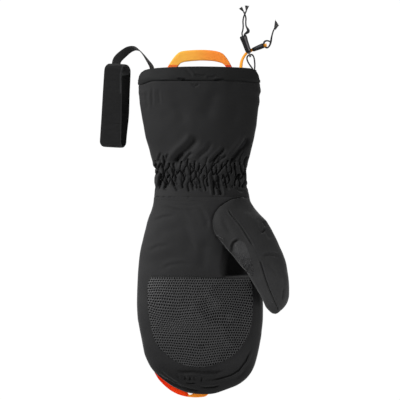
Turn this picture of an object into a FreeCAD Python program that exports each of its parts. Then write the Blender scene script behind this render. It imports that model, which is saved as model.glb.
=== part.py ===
# Ski mitten, right hand, lying on its back with the palm up.
# +X towards the thumb, +Y towards the cuff, +Z up out of the palm.  Millimetres.
import FreeCAD, Part
import os, math
from FreeCAD import Vector, Rotation, Placement

os.makedirs("parts", exist_ok=True)
doc = FreeCAD.newDocument("ski_mitten")
sheet = doc.addObject("Spreadsheet::Sheet", "Params")
row = [0]


def cell(alias, value):
    row[0] += 1
    sheet.set("A%d" % row[0], alias)
    sheet.set("B%d" % row[0], repr(float(value)))
    sheet.setAlias("B%d" % row[0], alias)
    return float(value)


# Cross-sections of the hand, wrist and cuff: y, centre x, half width, height, lift off the rest plane
HAND = [(102.30, 1.98, 52.25, 36.0, 0.8), (94.60, 1.65, 53.90, 38.3, 0.3), (81.40, 1.65, 57.75, 41.1, -0.6),
        (61.60, 1.10, 62.70, 42.6, -0.6), (35.20, 0.11, 66.99, 42.6, -0.6), (8.80, 0.00, 68.75, 42.6, -0.6),
        (-17.60, -0.11, 69.08, 41.6, -0.6), (-37.40, 0.55, 67.65, 39.5, -0.5), (-55.00, 0.99, 65.01, 36.0, 0.3),
        (-70.40, 1.10, 61.60, 31.0, 1.2), (-83.60, 1.82, 56.48, 25.0, 2.4), (-94.60, 2.58, 49.12, 18.5, 3.7),
        (-103.40, 4.00, 37.95, 12.5, 5.0), (-109.45, 3.20, 24.75, 8.6, 5.9), (-113.85, 3.85, 11.55, 5.6, 6.6)]
CUFF = [(245.30, -1.38, 66.61, 37.5, -0.4), (233.20, -1.38, 66.61, 38.5, -0.5), (220.00, -0.88, 66.88, 38.0, -0.5),
        (200.20, -1.04, 64.62, 37.5, -0.5), (180.40, -0.49, 61.88, 36.3, -0.3), (160.60, -0.38, 57.37, 34.0, 0.2),
        (151.80, -0.22, 55.00, 32.5, 0.6)]
WRIST = [(151.50, -0.22, 54.80, 32.5, 0.8), (140.80, -0.22, 51.92, 30.5, 1.0), (127.60, 0.11, 49.61, 29.5, 1.1),
         (114.40, 1.16, 50.33, 31.0, 1.1), (104.70, 1.80, 51.80, 34.2, 1.0)]
# Thumb: centre x, y, z, heading from -Y towards +X in degrees, half width, half height
THUMB = [(34.65, 84.15, 24.0, 29.6, 23.43, 15.0), (46.75, 65.45, 36.0, 19.9, 27.50, 17.0),
         (54.56, 53.46, 43.5, 14.9, 27.17, 16.5), (65.45, 36.63, 47.0, 9.5, 25.08, 15.5),
         (73.59, 21.45, 44.8, 7.3, 21.56, 15.0), (79.53, 5.28, 41.5, 4.4, 17.93, 14.0),
         (82.50, -8.58, 38.5, 1.1, 14.30, 12.0), (82.28, -19.80, 36.5, 0.0, 9.13, 8.2),
         (82.17, -25.30, 36.0, 0.0, 3.30, 3.0)]

for tag, rows in (("hand", HAND), ("cuff", CUFF), ("wrist", WRIST)):
    for i, (y, cx, w, hgt, lift) in enumerate(rows):
        for nm, v in (("y", y), ("cx", cx), ("half", w), ("tall", hgt), ("lift", lift)):
            cell("%s_%s_%02d" % (tag, nm, i), v)
for i, (x, y, z, ang, w, hh) in enumerate(THUMB):
    for nm, v in (("px", x), ("py", y), ("pz", z), ("half", w), ("tall", hh)):
        cell("thumb_%s_%02d" % (nm, i), v)

# Depth of each layer's outer face below the outside of the mitten
P = {}
for nm, v in (("skin_none", 0.0), ("skin_shell", 1.4), ("skin_membrane", 1.9), ("skin_fill", 5.9), ("skin_lining", 6.9),
              ("skin_patch", -0.8), ("skin_clear", -1.5), ("cuff_shell", 1.5), ("cuff_lining", 2.7),
              ("wrist_gather", 2.0), ("wrist_elastic", 3.4), ("wrist_lining", 4.4),
              ("thumb_shell", 1.3), ("thumb_fill", 4.6), ("thumb_lining", 5.5), ("thumb_patch", -0.7)):
    P[nm] = cell(nm, v)
for nm, v in (("hem_depth", 17.1), ("joint_gap", 0.4), ("pull_loop_z", 6.0), ("webbing_thick", 1.4),
              ("tip_loop_z", 0.3), ("tip_loop_thick", 1.2), ("strap_wide", 10.0), ("strap_thick", 1.1),
              ("band_wide", 22.0), ("band_long", 92.8), ("band_tall", 14.0), ("band_thick", 1.8),
              ("barrel_rad", 3.25), ("barrel_bore", 2.3), ("barrel_long", 19.2), ("stem_rad", 2.2),
              ("eye_rad", 2.6), ("eye_hole", 1.35), ("eye_thick", 2.2), ("lock_z", 7.5),
              ("sleeve_rad", 2.65), ("sleeve_bore", 1.5), ("sleeve_long", 11.2), ("cord_dia", 1.5),
              ("tail_dia", 1.4), ("tape_dia", 2.4), ("tail_end_thick", 1.0), ("elastic_wide", 5.0),
              ("bartack_tall", 1.6), ("guide_rad", 2.2), ("guide_bore", 1.3)):
    P[nm] = cell(nm, v)
doc.recompute()


# ---------------------------------------------------------------- lofted layers
def oval_loft(label, tag, rows, depth, stop=2.2):
    """Closed loft through level ovals standing across Y; depth insets every oval."""
    d = P[depth]
    secs = []
    for i, (y, cx, w, hgt, lift) in enumerate(rows):
        if w - d < hgt / 2 - d + 0.05 or hgt / 2 - d < stop:
            continue
        e = doc.addObject("Part::Ellipse", "%s_oval_%02d" % (label, i))
        e.Placement = Placement(Vector(cx, y, lift + hgt / 2), Rotation(Vector(1, 0, 0), 90))
        e.setExpression("MajorRadius", "Params.%s_half_%02d - Params.%s" % (tag, i, depth))
        e.setExpression("MinorRadius", "Params.%s_tall_%02d / 2 - Params.%s" % (tag, i, depth))
        e.setExpression(".Placement.Base.y", "Params.%s_y_%02d" % (tag, i))
        e.setExpression(".Placement.Base.z", "Params.%s_lift_%02d + Params.%s_tall_%02d / 2" % (tag, i, tag, i))
        secs.append(e)
    lo = doc.addObject("Part::Loft", label)
    lo.Sections = secs
    lo.Solid = True
    lo.Ruled = False
    return lo


def thumb_loft(label, depth, stop=2.2):
    d = P[depth]
    secs = []
    for i, (x, y, z, ang, w, hh) in enumerate(THUMB):
        if hh - d < stop:
            continue
        e = doc.addObject("Part::Ellipse", "%s_oval_%02d" % (label, i))
        e.Placement = Placement(Vector(x, y, z), Rotation(Vector(0, 0, 1), ang) * Rotation(Vector(1, 0, 0), 90))
        e.setExpression("MajorRadius", "Params.thumb_half_%02d - Params.%s" % (i, depth))
        e.setExpression("MinorRadius", "Params.thumb_tall_%02d - Params.%s" % (i, depth))
        e.setExpression(".Placement.Base.z", "Params.thumb_pz_%02d" % i)
        secs.append(e)
    lo = doc.addObject("Part::Loft", label)
    lo.Sections = secs
    lo.Solid = True
    lo.Ruled = False
    return lo


def cut(label, base, tool):
    o = doc.addObject("Part::Cut", label)
    o.Base = base
    o.Tool = tool
    return o


def common(label, a, b):
    o = doc.addObject("Part::MultiCommon", label)
    o.Shapes = [a, b]
    return o


def fuse(label, parts):
    o = doc.addObject("Part::MultiFuse", label)
    o.Shapes = parts
    return o


def box(label, lo, hi):
    o = doc.addObject("Part::Box", label)
    o.Length, o.Width, o.Height = hi[0] - lo[0], hi[1] - lo[1], hi[2] - lo[2]
    o.Placement = Placement(Vector(*lo), Rotation())
    return o


def body_sketch(label, plane, pts, length, offset=0.0, mid=False, length_expr=None, offset_expr=None):
    """PartDesign body: closed polygon sketch on an origin plane, padded."""
    b = doc.addObject("PartDesign::Body", label)
    sk = b.newObject("Sketcher::SketchObject", label + "_sketch")
    pl = [f for f in b.Origin.OriginFeatures if getattr(f, "Role", "") == plane][0]
    sk.AttachmentSupport = [(pl, "")]
    sk.MapMode = "FlatFace"
    sk.AttachmentOffset = Placement(Vector(0, 0, offset), Rotation())
    if offset_expr:
        sk.setExpression(".AttachmentOffset.Base.z", offset_expr)
    for k in range(len(pts)):
        a, c = pts[k], pts[(k + 1) % len(pts)]
        sk.addGeometry(Part.LineSegment(Vector(a[0], a[1], 0), Vector(c[0], c[1], 0)), False)
    pad = b.newObject("PartDesign::Pad", label + "_pad")
    pad.Profile = sk
    pad.Length = length
    if length_expr:
        pad.setExpression("Length", length_expr)
    if mid:
        pad.Midplane = True
    b.Tip = pad
    return b


def plan(x, y):
    return ((x - 200.0) * 1.1, (290.0 - y) * 1.1)


# side-seam surface: everything above it is the palm side
mid_pts = [(262.0, 18.4), (233.2, 18.7), (200.2, 18.2), (160.6, 17.2), (140.8, 16.2), (127.6, 15.8), (114.4, 16.6),
           (102.3, 18.8), (81.4, 20.0), (35.2, 20.7), (-17.6, 20.2), (-37.4, 19.3), (-55.0, 18.3), (-70.4, 16.7),
           (-83.6, 14.9), (-94.6, 12.9), (-103.4, 11.2), (-113.8, 9.4), (-130.0, 9.0), (-130.0, 120.0), (262.0, 120.0)]
upper = body_sketch("upper_side", "YZ_Plane", mid_pts, 320.0, mid=True)
upper2 = doc.addObject("Part::Feature", "upper_side_solid")  # stand-alone copy used as a tool

floor = box("floor_cutter", (-200, -200, -20), (200, 300, 0))

L = {}
for k, dname in (("L0", "skin_none"), ("L1", "skin_shell"), ("L2", "skin_membrane"), ("L3", "skin_fill"),
                 ("L4", "skin_lining"), ("LP", "skin_patch"), ("LX", "skin_clear")):
    L[k] = oval_loft("hand_" + k, "hand", HAND, dname)
for k, dname in (("C0", "skin_none"), ("C1", "cuff_shell"), ("C2", "cuff_lining")):
    L[k] = oval_loft("cuff_" + k, "cuff", CUFF, dname)
for k, dname in (("W0", "skin_none"), ("W1", "wrist_gather"), ("W2", "wrist_elastic"), ("W3", "wrist_lining")):
    L[k] = oval_loft("wrist_" + k, "wrist", WRIST, dname)
for k, dname in (("T0", "skin_none"), ("T1", "thumb_shell"), ("T3", "thumb_fill"), ("T4", "thumb_lining"),
                 ("TP", "thumb_patch")):
    L[k] = thumb_loft("thumb_" + k, dname)
doc.recompute()
upper2.Shape = upper.Shape.copy()

OUT = {}

# ---------------------------------------------------------------- hand
shell_ring = cut("hand_shell_ring", L["L0"], L["L1"])
shell_open = cut("hand_shell_open", shell_ring, L["T4"])
OUT["palm_shell"] = common("palm_shell", shell_open, upper2)
back_raw = cut("back_shell_raw", shell_ring, upper2)
OUT["back_shell"] = cut("back_shell", back_raw, floor)
memb = cut("membrane_ring", L["L1"], L["L2"])
OUT["waterproof_insert"] = cut("waterproof_insert", memb, L["T4"])
fill_ring = cut("hand_fill_ring", L["L2"], L["L3"])
fill_up = common("palm_fill_raw", fill_ring, upper2)
OUT["palm_insulation"] = cut("palm_insulation", fill_up, L["T4"])
OUT["back_insulation"] = cut("back_insulation", fill_ring, upper2)
lin_ring = cut("hand_lining_ring", L["L3"], L["L4"])
lin_up = common("palm_lining_raw", lin_ring, upper2)
OUT["palm_lining"] = cut("palm_lining", lin_up, L["T4"])
OUT["back_lining"] = cut("back_lining", lin_ring, upper2)

# palm grip patch: raised skin inside its outline
patch_plan = [(150.2, 276.1), (146.9, 286.6), (147.2, 306.3), (150.2, 327.3), (155, 342.8), (166.3, 355.4), (178.9, 363.8),
            (190.2, 367.3), (204.2, 367.3), (218.2, 363.8), (232.3, 356.8), (242, 347), (249, 334.3), (252.6, 320.3),
            (253.5, 299.3), (253.3, 289.4), (250, 276.8)]
patch_prism = body_sketch("palm_patch_outline", "XY_Plane", [plan(*q) for q in patch_plan], 60.0, offset=22.0)
doc.recompute()
patch_tool = doc.addObject("Part::Feature", "palm_patch_tool")
patch_tool.Shape = patch_prism.Shape.copy()
patch_skin = cut("palm_patch_skin", L["LP"], L["L0"])
OUT["palm_grip_patch"] = common("palm_grip_patch", patch_skin, patch_tool)

# ---------------------------------------------------------------- thumb
# The joint face crosses the thumb a little beyond its crotch
JP = Vector(62.0, 44.0, 40.0)
head = 17.5
tip_half = box("thumb_half", (-150, -200, -150), (150, 0, 150))
tip_half.Placement = Placement(JP, Rotation(Vector(0, 0, 1), head)) .multiply(Placement(Vector(-150, -300, -150), Rotation()))
tip_half.Length, tip_half.Width, tip_half.Height = 300, 300, 300
base_keep = box("thumb_base_keep", (0, 0, 0), (300, 300.0, 300))
base_keep.Placement = Placement(JP, Rotation(Vector(0, 0, 1), head)).multiply(Placement(Vector(-150, -300 + P["joint_gap"], -150), Rotation()))

seam_plan = [(222, 196), (229.2, 213), (235, 219.2), (245.5, 233.6), (256, 248.9), (262.7, 270), (269.4, 289), (276.5, 306), (281, 322),
           (190, 322), (190, 196)]
seam_prism = body_sketch("thumb_seam_side", "XY_Plane", [plan(*q) for q in seam_plan], 100.0, offset=0.0)
doc.recompute()
seam_tool = doc.addObject("Part::Feature", "thumb_seam_tool")
seam_tool.Shape = seam_prism.Shape.copy()

t_ring = cut("thumb_shell_ring", L["T0"], L["T1"])
t_ring_c = cut("thumb_shell_clear", t_ring, L["LX"])
t_tip = common("thumb_shell_tip", t_ring_c, tip_half)
OUT["thumb_inner_shell"] = common("thumb_inner_shell", t_tip, seam_tool)
OUT["thumb_outer_shell"] = cut("thumb_outer_shell", t_tip, seam_tool)
t_fill = cut("thumb_fill_ring", L["T1"], L["T3"])
t_fill_c = cut("thumb_fill_clear", t_fill, L["LX"])
OUT["thumb_insulation"] = common("thumb_insulation", t_fill_c, tip_half)
t_lin = cut("thumb_lining_ring", L["T3"], L["T4"])
t_lin_c = cut("thumb_lining_clear", t_lin, L["LX"])
OUT["thumb_lining"] = common("thumb_lining", t_lin_c, tip_half)
g_ring = cut("gusset_ring", t_ring, L["L0"])
OUT["thumb_gusset"] = cut("thumb_gusset", g_ring, base_keep)
gi_ring = cut("gusset_fill_ring", L["T1"], L["T4"])
gi_c = cut("gusset_fill_clear", gi_ring, L["L0"])
OUT["gusset_insulation"] = cut("gusset_insulation", gi_c, base_keep)

tp_plan = [(237, 240.5), (232, 242.5), (229.5, 248), (234, 256), (239.8, 264.5), (245, 271), (251, 277.5), (254, 276),
         (253, 268), (249.5, 258.5), (246, 250), (242.5, 243)]
tp_prism = body_sketch("thumb_patch_outline", "XY_Plane", [plan(*q) for q in tp_plan], 40.0, offset=44.0)
doc.recompute()
tp_tool = doc.addObject("Part::Feature", "thumb_patch_tool")
tp_tool.Shape = tp_prism.Shape.copy()
tp_skin = cut("thumb_patch_skin", L["TP"], L["T0"])
tp_raw = common("thumb_patch_raw", tp_skin, tp_tool)
OUT["thumb_grip_patch"] = common("thumb_grip_patch", tp_raw, tip_half)

# ---------------------------------------------------------------- wrist
w_ring = cut("wrist_ring", L["W0"], L["W1"])
OUT["wrist_gather_front"] = common("wrist_gather_front", w_ring, upper2)
OUT["wrist_gather_back"] = cut("wrist_gather_back", w_ring, upper2)
e_ring = cut("wrist_elastic_ring", L["W1"], L["W2"])
ew = P["elastic_wide"]
slabs = fuse("elastic_rows", [box("elastic_row_%d" % k, (-80, y - ew / 2, -10), (80, y + ew / 2, 60))
                              for k, y in enumerate((116.5, 127.5, 138.5))])
OUT["wrist_elastic"] = common("wrist_elastic", e_ring, slabs)
OUT["wrist_lining"] = cut("wrist_lining", L["W2"], L["W3"])
# binding where hand and wrist are sewn together
bind = doc.addObject("Part::Box", "bind_slab")
bind.Length, bind.Width, bind.Height = 160, 2.0, 80
bind.Placement = Placement(Vector(-80, 102.5, -10), Rotation())
bind_o = doc.addObject("Part::Cylinder", "bind_outer")
bind_o.Radius = 1
bind_o.Height = 1
bind_e = []
for nm, inset in (("bind_out", 0.2), ("bind_in", 2.2)):
    e1 = doc.addObject("Part::Ellipse", nm + "_a")
    e1.Placement = Placement(Vector(1.9, 102.5, 18.6), Rotation(Vector(1, 0, 0), 90))
    e1.MajorRadius, e1.MinorRadius = 52.0 - inset, 17.4 - inset
    e2 = doc.addObject("Part::Ellipse", nm + "_b")
    e2.Placement = Placement(Vector(1.9, 104.5, 18.6), Rotation(Vector(1, 0, 0), 90))
    e2.MajorRadius, e2.MinorRadius = 51.9 - inset, 17.2 - inset
    lo = doc.addObject("Part::Loft", nm)
    lo.Sections = [e1, e2]
    lo.Solid = True
    bind_e.append(lo)
doc.removeObject("bind_slab")
doc.removeObject("bind_outer")
OUT["wrist_binding"] = cut("wrist_binding", bind_e[0], bind_e[1])

# ---------------------------------------------------------------- cuff
hy = 245.3 - P["hem_depth"]
hem_zone = box("hem_zone", (-100, hy + 0.0, -30), (100, 260, 80))
c_ring = cut("cuff_shell_ring", L["C0"], L["C1"])
c_shell = cut("cuff_shell_below_hem", c_ring, hem_zone)
OUT["cuff_front_shell"] = common("cuff_front_shell", c_shell, upper2)
cb = cut("cuff_back_raw", c_shell, upper2)
OUT["cuff_back_shell"] = cut("cuff_back_shell", cb, floor)
c_lin = cut("cuff_lining_ring", L["C1"], L["C2"])
OUT["cuff_lining"] = cut("cuff_lining", c_lin, hem_zone)
# hem: folded double fabric, corners of the mouth rounded off
corner = 11.0
mo = [(-70, hy - 5), (70, hy - 5), (70, 236.0), (64.6, 239.8), (61.0, 243.0), (56.0, 245.0), (52.0, 245.5), (-54.0, 245.5),
      (-59.0, 245.0), (-64.5, 241.5), (-67.5, 236.5), (-70, 236.0)]
mouth = body_sketch("mouth_outline", "XY_Plane", mo, 80.0, offset=-20.0)
doc.recompute()
mouth_tool = doc.addObject("Part::Feature", "mouth_tool")
mouth_tool.Shape = mouth.Shape.copy()
h_ring = cut("hem_ring", L["C0"], L["C2"])
h_zone = common("hem_in_zone", h_ring, hem_zone)
h_round = common("hem_rounded", h_zone, mouth_tool)
OUT["cuff_hem_front"] = common("cuff_hem_front", h_round, upper2)
hb = cut("hem_back_raw", h_round, upper2)
OUT["cuff_hem_back"] = cut("cuff_hem_back", hb, floor)

# ---------------------------------------------------------------- webbing loops
zt = "Params.pull_loop_z"
pull_plan = [(168.0, 66.3), (172, 60), (177, 54), (182, 51), (190, 50.2), (205, 49.5), (218, 51.5), (224, 54.5), (228, 60),
           (231.6, 66.3), (225.9, 66.3), (225, 64.5), (220, 62.5), (213, 61), (203, 60.4), (192, 61), (183, 62), (179.5, 64),
           (178, 66.3)]
OUT["pull_loop"] = body_sketch("pull_loop", "XY_Plane", [plan(*q) for q in pull_plan], P["webbing_thick"],
                               offset=P["pull_loop_z"], length_expr="Params.webbing_thick", offset_expr=zt)
tabs = []
for k, (x0, x1) in enumerate(((-35.0, -24.3), (28.6, 34.6))):
    tb = box("pull_tab_%d" % k, (x0, 231.0, P["pull_loop_z"]), (x1, 244.9, P["pull_loop_z"] + 1.2))
    tabs.append(tb)
OUT["pull_loop_tabs"] = fuse("pull_loop_tabs", tabs)

tip_plan = [(153.5, 370.5), (157.5, 377.5), (164, 385), (172, 391), (181, 395.5), (191, 397.8), (200, 398), (207.6, 396.0),
          (206.6, 390.0), (199, 389.6), (190, 388.6), (182.5, 386), (175, 381.8), (168.5, 376.5), (163.5, 371), (161, 367.5)]
OUT["tip_loop"] = body_sketch("tip_loop", "XY_Plane", [plan(*q) for q in tip_plan], P["tip_loop_thick"],
                              offset=P["tip_loop_z"], length_expr="Params.tip_loop_thick", offset_expr="Params.tip_loop_z")
tt = [box("tip_tab_0", (-47.0, -84.0, 0.4), (-40.0, -79.0, 1.5)), box("tip_tab_1", (8.8, -113.0, 2.6), (14.5, -106.0, 5.2))]
doc.removeObject("tip_tab_0")
doc.removeObject("tip_tab_1")

# leash strap: narrow tape, on edge where it is sewn in, turning flat where it meets the band
strap_pts = [(-53.35, 246.3, 16.5), (-57.75, 252.6, 15.8), (-62.7, 259.6, 14.6), (-66.9, 264.0, 13.2), (-72.0, 266.0, 11.8),
             (-78.4, 264.4, 10.3), (-85.6, 259.2, 8.8), (-90.9, 254.0, 7.6), (-92.6, 250.0, 7.2)]
strap_turn = [4, 10, 22, 42, 62, 78, 86, 90, 90]


def tape_solid(pts, turns, wide, thick):
    wires = []
    n = len(pts)
    for k in range(n):
        p = Vector(*pts[k])
        a = Vector(*pts[max(k - 1, 0)])
        b = Vector(*pts[min(k + 1, n - 1)])
        if k == n - 1:
            t = Vector(0, -1, 0)
        else:
            t = (b - a).normalize()
        zp = (Vector(0, 0, 1) - t * t.z).normalize()
        sp = t.cross(zp)
        r = math.radians(turns[k])
        wv = zp * math.cos(r) + sp * math.sin(r)
        nv = t.cross(wv)
        c = [p + wv * (wide / 2) * i + nv * (thick / 2) * j for i, j in ((1, 1), (1, -1), (-1, -1), (-1, 1))]
        wires.append(Part.makePolygon(c + [c[0]]))
    return Part.makeLoft(wires, True, False)


strap = doc.addObject("Part::Feature", "leash_strap")
strap.Shape = tape_solid(strap_pts, strap_turn, P["strap_wide"], P["strap_thick"])
OUT["leash_strap"] = strap
OUT["leash_anchor"] = box("leash_anchor", (-53.9, 231.0, 12.2), (-52.8, 244.6, 21.0))

# leash band: flattened loop of wide elastic webbing, its upper run leaning to the left of the lower run
bl, bt, bth, bw = P["band_long"], P["band_tall"], P["band_thick"], P["band_wide"]


def track(rad, length, x=-bw / 2):
    c = length / 2 - rad
    a = Part.Arc(Vector(x, c, rad), Vector(x, c + rad, 0), Vector(x, c, -rad)).toShape()
    b = Part.LineSegment(Vector(x, c, -rad), Vector(x, -c, -rad)).toShape()
    d = Part.Arc(Vector(x, -c, -rad), Vector(x, -c - rad, 0), Vector(x, -c, rad)).toShape()
    e = Part.LineSegment(Vector(x, -c, rad), Vector(x, c, rad)).toShape()
    return Part.Wire([a, b, d, e])


outer_f = Part.Face(track(bt / 2, bl)).extrude(Vector(bw, 0, 0))
inner_f = Part.Face(track(bt / 2 - bth, bl - 2 * bth)).extrude(Vector(bw, 0, 0))
ring = outer_f.cut(inner_f)
m = FreeCAD.Matrix()
m.A13 = -0.60
band = doc.addObject("Part::Feature", "leash_band")
band.Shape = ring.transformGeometry(m)
band.Placement = Placement(Vector(-93.3, 202.9, bt / 2 + 0.2), Rotation(Vector(0, 0, 1), -3.0))
OUT["leash_band"] = band
OUT["leash_bartack"] = box("leash_bartack", (-97.2, 236.0, 14.6), (-88.2, 237.2, 15.2))
doc.removeObject("leash_bartack")
del OUT["leash_bartack"]

# ---------------------------------------------------------------- drawcord lock
AX = Vector(-0.335, 0.942, 0).normalize()
UX = Vector(0.942, 0.335, 0).normalize()
EYE = Vector(54.70, 258.70, P["lock_z"])
lock_rot = Rotation(UX, Vector(0, 0, 1), AX * -1 if UX.cross(Vector(0, 0, 1)).dot(AX) < 0 else AX, "XYZ")
eye_d = doc.addObject("Part::Cylinder", "eye_disc")
eye_d.setExpression("Radius", "Params.eye_rad")
eye_d.setExpression("Height", "Params.eye_thick")
eye_d.Placement = Placement(EYE - UX * (P["eye_thick"] / 2), Rotation(Vector(0, 0, 1), UX))
eye_h = doc.addObject("Part::Cylinder", "eye_hole_tool")
eye_h.setExpression("Radius", "Params.eye_hole")
eye_h.Height = 12
eye_h.Placement = Placement(EYE - UX * 6, Rotation(Vector(0, 0, 1), UX))
stem = doc.addObject("Part::Cylinder", "lock_stem")
stem.setExpression("Radius", "Params.stem_rad")
stem.Height = 15.2
stem.Placement = Placement(EYE + AX * 1.9, Rotation(Vector(0, 0, 1), AX))
core_solid = fuse("lock_core_solid", [eye_d, stem])
OUT["lock_core"] = cut("lock_core", core_solid, eye_h)


def revolved(label, profile, place):
    """PartDesign body: profile in the XZ plane (radius, along) turned about Z."""
    b = doc.addObject("PartDesign::Body", label)
    sk = b.newObject("Sketcher::SketchObject", label + "_sketch")
    pl = [f for f in b.Origin.OriginFeatures if getattr(f, "Role", "") == "XZ_Plane"][0]
    sk.AttachmentSupport = [(pl, "")]
    sk.MapMode = "FlatFace"
    for k in range(len(profile)):
        a, c = profile[k], profile[(k + 1) % len(profile)]
        sk.addGeometry(Part.LineSegment(Vector(a[0], a[1], 0), Vector(c[0], c[1], 0)), False)
    rv = b.newObject("PartDesign::Revolution", label + "_turn")
    rv.Profile = sk
    rv.ReferenceAxis = (sk, ["V_Axis"])
    rv.Angle = 360
    b.Tip = rv
    b.Placement = place
    return b


rb, ri, bl2 = P["barrel_rad"], P["barrel_bore"], P["barrel_long"]
OUT["lock_barrel"] = revolved("lock_barrel", [(ri, 0), (rb - 0.8, 0), (rb - 0.2, 0.4), (rb, 1.2), (rb, bl2 - 1.6), (rb - 0.3, bl2 - 0.6),
                                              (rb - 0.75, bl2), (ri, bl2)],
                              Placement(EYE + AX * 3.0, Rotation(Vector(0, 0, 1), AX)))
rs, rsi, sl = P["sleeve_rad"], P["sleeve_bore"], P["sleeve_long"]
SC = Vector(64.05, 266.85, 2.9)
OUT["tape_sleeve"] = revolved("tape_sleeve", [(rsi, 0), (rs - 0.8, 0), (rs - 0.1, 0.9), (rs, 2.0), (rs, sl - 2.0), (rs - 0.1, sl - 0.9),
                                              (rs - 0.8, sl), (rsi, sl)],
                              Placement(SC - UX * (sl / 2), Rotation(Vector(0, 0, 1), UX)))
# guide that the drawcord runs through at the corner of the hem
gu_o = doc.addObject("Part::Box", "guide_block")
gu_o.Length, gu_o.Width, gu_o.Height = 4.6, 3.4, 5.0
gu_o.Placement = Placement(Vector(57.4, 238.6, 14.0), Rotation())
OUT["drawcord_guide"] = cut("drawcord_guide", gu_o, h_round)

# ---------------------------------------------------------------- cords
def cord(label, pts, dia):
    """Round cord: straight runs joined by tangent arcs as large as the runs allow."""
    pts = [Vector(*q) for q in pts]
    edges, start, radii = [], pts[0], []
    for k in range(1, len(pts) - 1):
        a, p, b = pts[k - 1], pts[k], pts[k + 1]
        u, v = (a - p), (b - p)
        run = min(u.Length, v.Length)
        u.normalize()
        v.normalize()
        turn = math.pi - math.acos(max(-1, min(1, u.dot(v))))
        rad = 0.45 * run / math.tan(turn / 2)
        t = 0.45 * run
        radii.append((round(rad, 1), round(math.degrees(turn))))
        s, e = p + u * t, p + v * t
        bis = (u + v).normalize()
        centre = p + bis * math.hypot(rad, t)
        mid = centre - bis * rad
        edges.append(Part.LineSegment(start, s).toShape())
        edges.append(Part.Arc(s, mid, e).toShape())
        start = e
    edges.append(Part.LineSegment(start, pts[-1]).toShape())
    path = Part.Wire(edges)
    d0 = (pts[1] - pts[0]).normalize()
    prof = Part.Wire([Part.Circle(pts[0], d0, dia / 2).toShape()])
    solid = path.makePipeShell([prof], True, False)
    want = math.pi * dia * dia / 4 * path.Length
    print("cord %s length %.1f volume %.2f of %.2f, radius and turn %s" % (label, path.Length, solid.Volume, want, radii))
    o = doc.addObject("Part::Feature", label)
    o.Shape = solid
    return o


OUT["drawcord_loop"] = cord("drawcord_loop", [
    (57.9, 243.1, 16.5), (55.2, 246.8, 14.4), (52.7, 250.8, 11.6), (51.4, 254.8, 9.1), (52.3, 257.6, 7.8),
    (54.7, 258.75, 7.5), (57.2, 259.3, 7.6), (59.0, 257.2, 8.5), (59.9, 253.4, 10.6), (60.3, 248.4, 13.6), (60.2, 243.1, 16.5)],
    P["cord_dia"])
OUT["tail_left"] = cord("tail_left", [
    (48.0, 275.3, 7.5), (46.6, 279.4, 7.4), (46.1, 282.9, 6.3), (47.2, 285.9, 4.7), (47.7, 290.4, 3.0), (47.3, 294.9, 2.0),
    (47.6, 298.9, 2.2), (48.6, 302.2, 2.9), (50.0, 305.0, 2.7), (51.1, 307.7, 1.7)], P["tail_dia"])
OUT["tail_right"] = cord("tail_right", [
    (49.6, 275.9, 7.5), (48.2, 280.9, 7.4), (50.9, 282.7, 6.6), (53.5, 284.6, 5.6), (52.6, 287.5, 4.4), (50.8, 290.0, 3.1),
    (50.3, 294.6, 1.9), (50.8, 299.2, 0.9), (49.7, 303.3, 0.8), (47.9, 306.9, 0.85)], P["tail_dia"])
OUT["anchor_tape"] = cord("anchor_tape", [
    (44.9, 244.2, 9.6), (45.3, 249.6, 6.6), (47.0, 254.9, 3.6), (49.8, 259.4, 1.7), (53.4, 262.6, 1.45), (57.6, 264.5, 2.6),
    (64.0, 266.9, 2.85), (70.5, 269.15, 2.9), (73.4, 269.8, 2.6)], P["tape_dia"])
OUT["pull_tail"] = cord("pull_tail", [
    (77.0, 273.6, 2.9), (74.7, 274.7, 2.9), (71.6, 274.2, 2.3), (70.2, 272.2, 1.3), (70.6, 269.6, 0.75), (71.8, 267.3, 1.0),
    (74.0, 266.5, 1.7), (76.0, 268.0, 2.0), (77.4, 270.6, 1.5), (78.2, 273.7, 0.9), (78.7, 277.5, 0.8), (79.6, 281.6, 0.8),
    (80.7, 285.2, 0.8), (82.1, 288.0, 0.85)], P["tail_dia"])


def blade(label, pts, z):
    """Flared, heat-sealed cord end: a thin flat wedge."""
    return body_sketch(label, "XY_Plane", pts, P["tail_end_thick"], offset=z, length_expr="Params.tail_end_thick")


OUT["tail_end_left"] = blade("tail_end_left", [(50.75, 308.1), (51.7, 307.7), (54.3, 313.4), (49.4, 314.2)], 1.1)
OUT["tail_end_right"] = blade("tail_end_right", [(47.3, 307.0), (48.1, 307.4), (46.3, 312.6), (42.6, 310.0)], 0.3)
OUT["pull_tail_end"] = blade("pull_tail_end", [(81.7, 288.6), (82.6, 288.2), (86.3, 290.9), (84.9, 295.6), (83.2, 297.2)], 0.3)

# ---------------------------------------------------------------- check and write
doc.recompute()
bad = [o.Name for o in doc.Objects if any(s in ("Invalid", "Error") for s in o.State)]
if bad:
    print("FAILED objects:", bad)
count = 0
for name, o in OUT.items():
    o.Label = name
    s = o.Shape
    if s.isNull() or not s.isValid():
        raise SystemExit("bad shape: " + name)
    bb = s.BoundBox
    print("%-20s solids %d vol %9.1f  x %.1f..%.1f y %.1f..%.1f z %.1f..%.1f" % (
        name, len(s.Solids), s.Volume, bb.XMin, bb.XMax, bb.YMin, bb.YMax, bb.ZMin, bb.ZMax))
if bad:
    raise SystemExit("objects failed")
for name, o in OUT.items():
    o.Shape.exportStep("parts/%s.step" % name)
    count += 1
print("wrote", count)
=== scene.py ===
import bpy, bmesh, math
import numpy as np
from mathutils import Vector, Matrix
from mathutils.bvhtree import BVHTree


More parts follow.
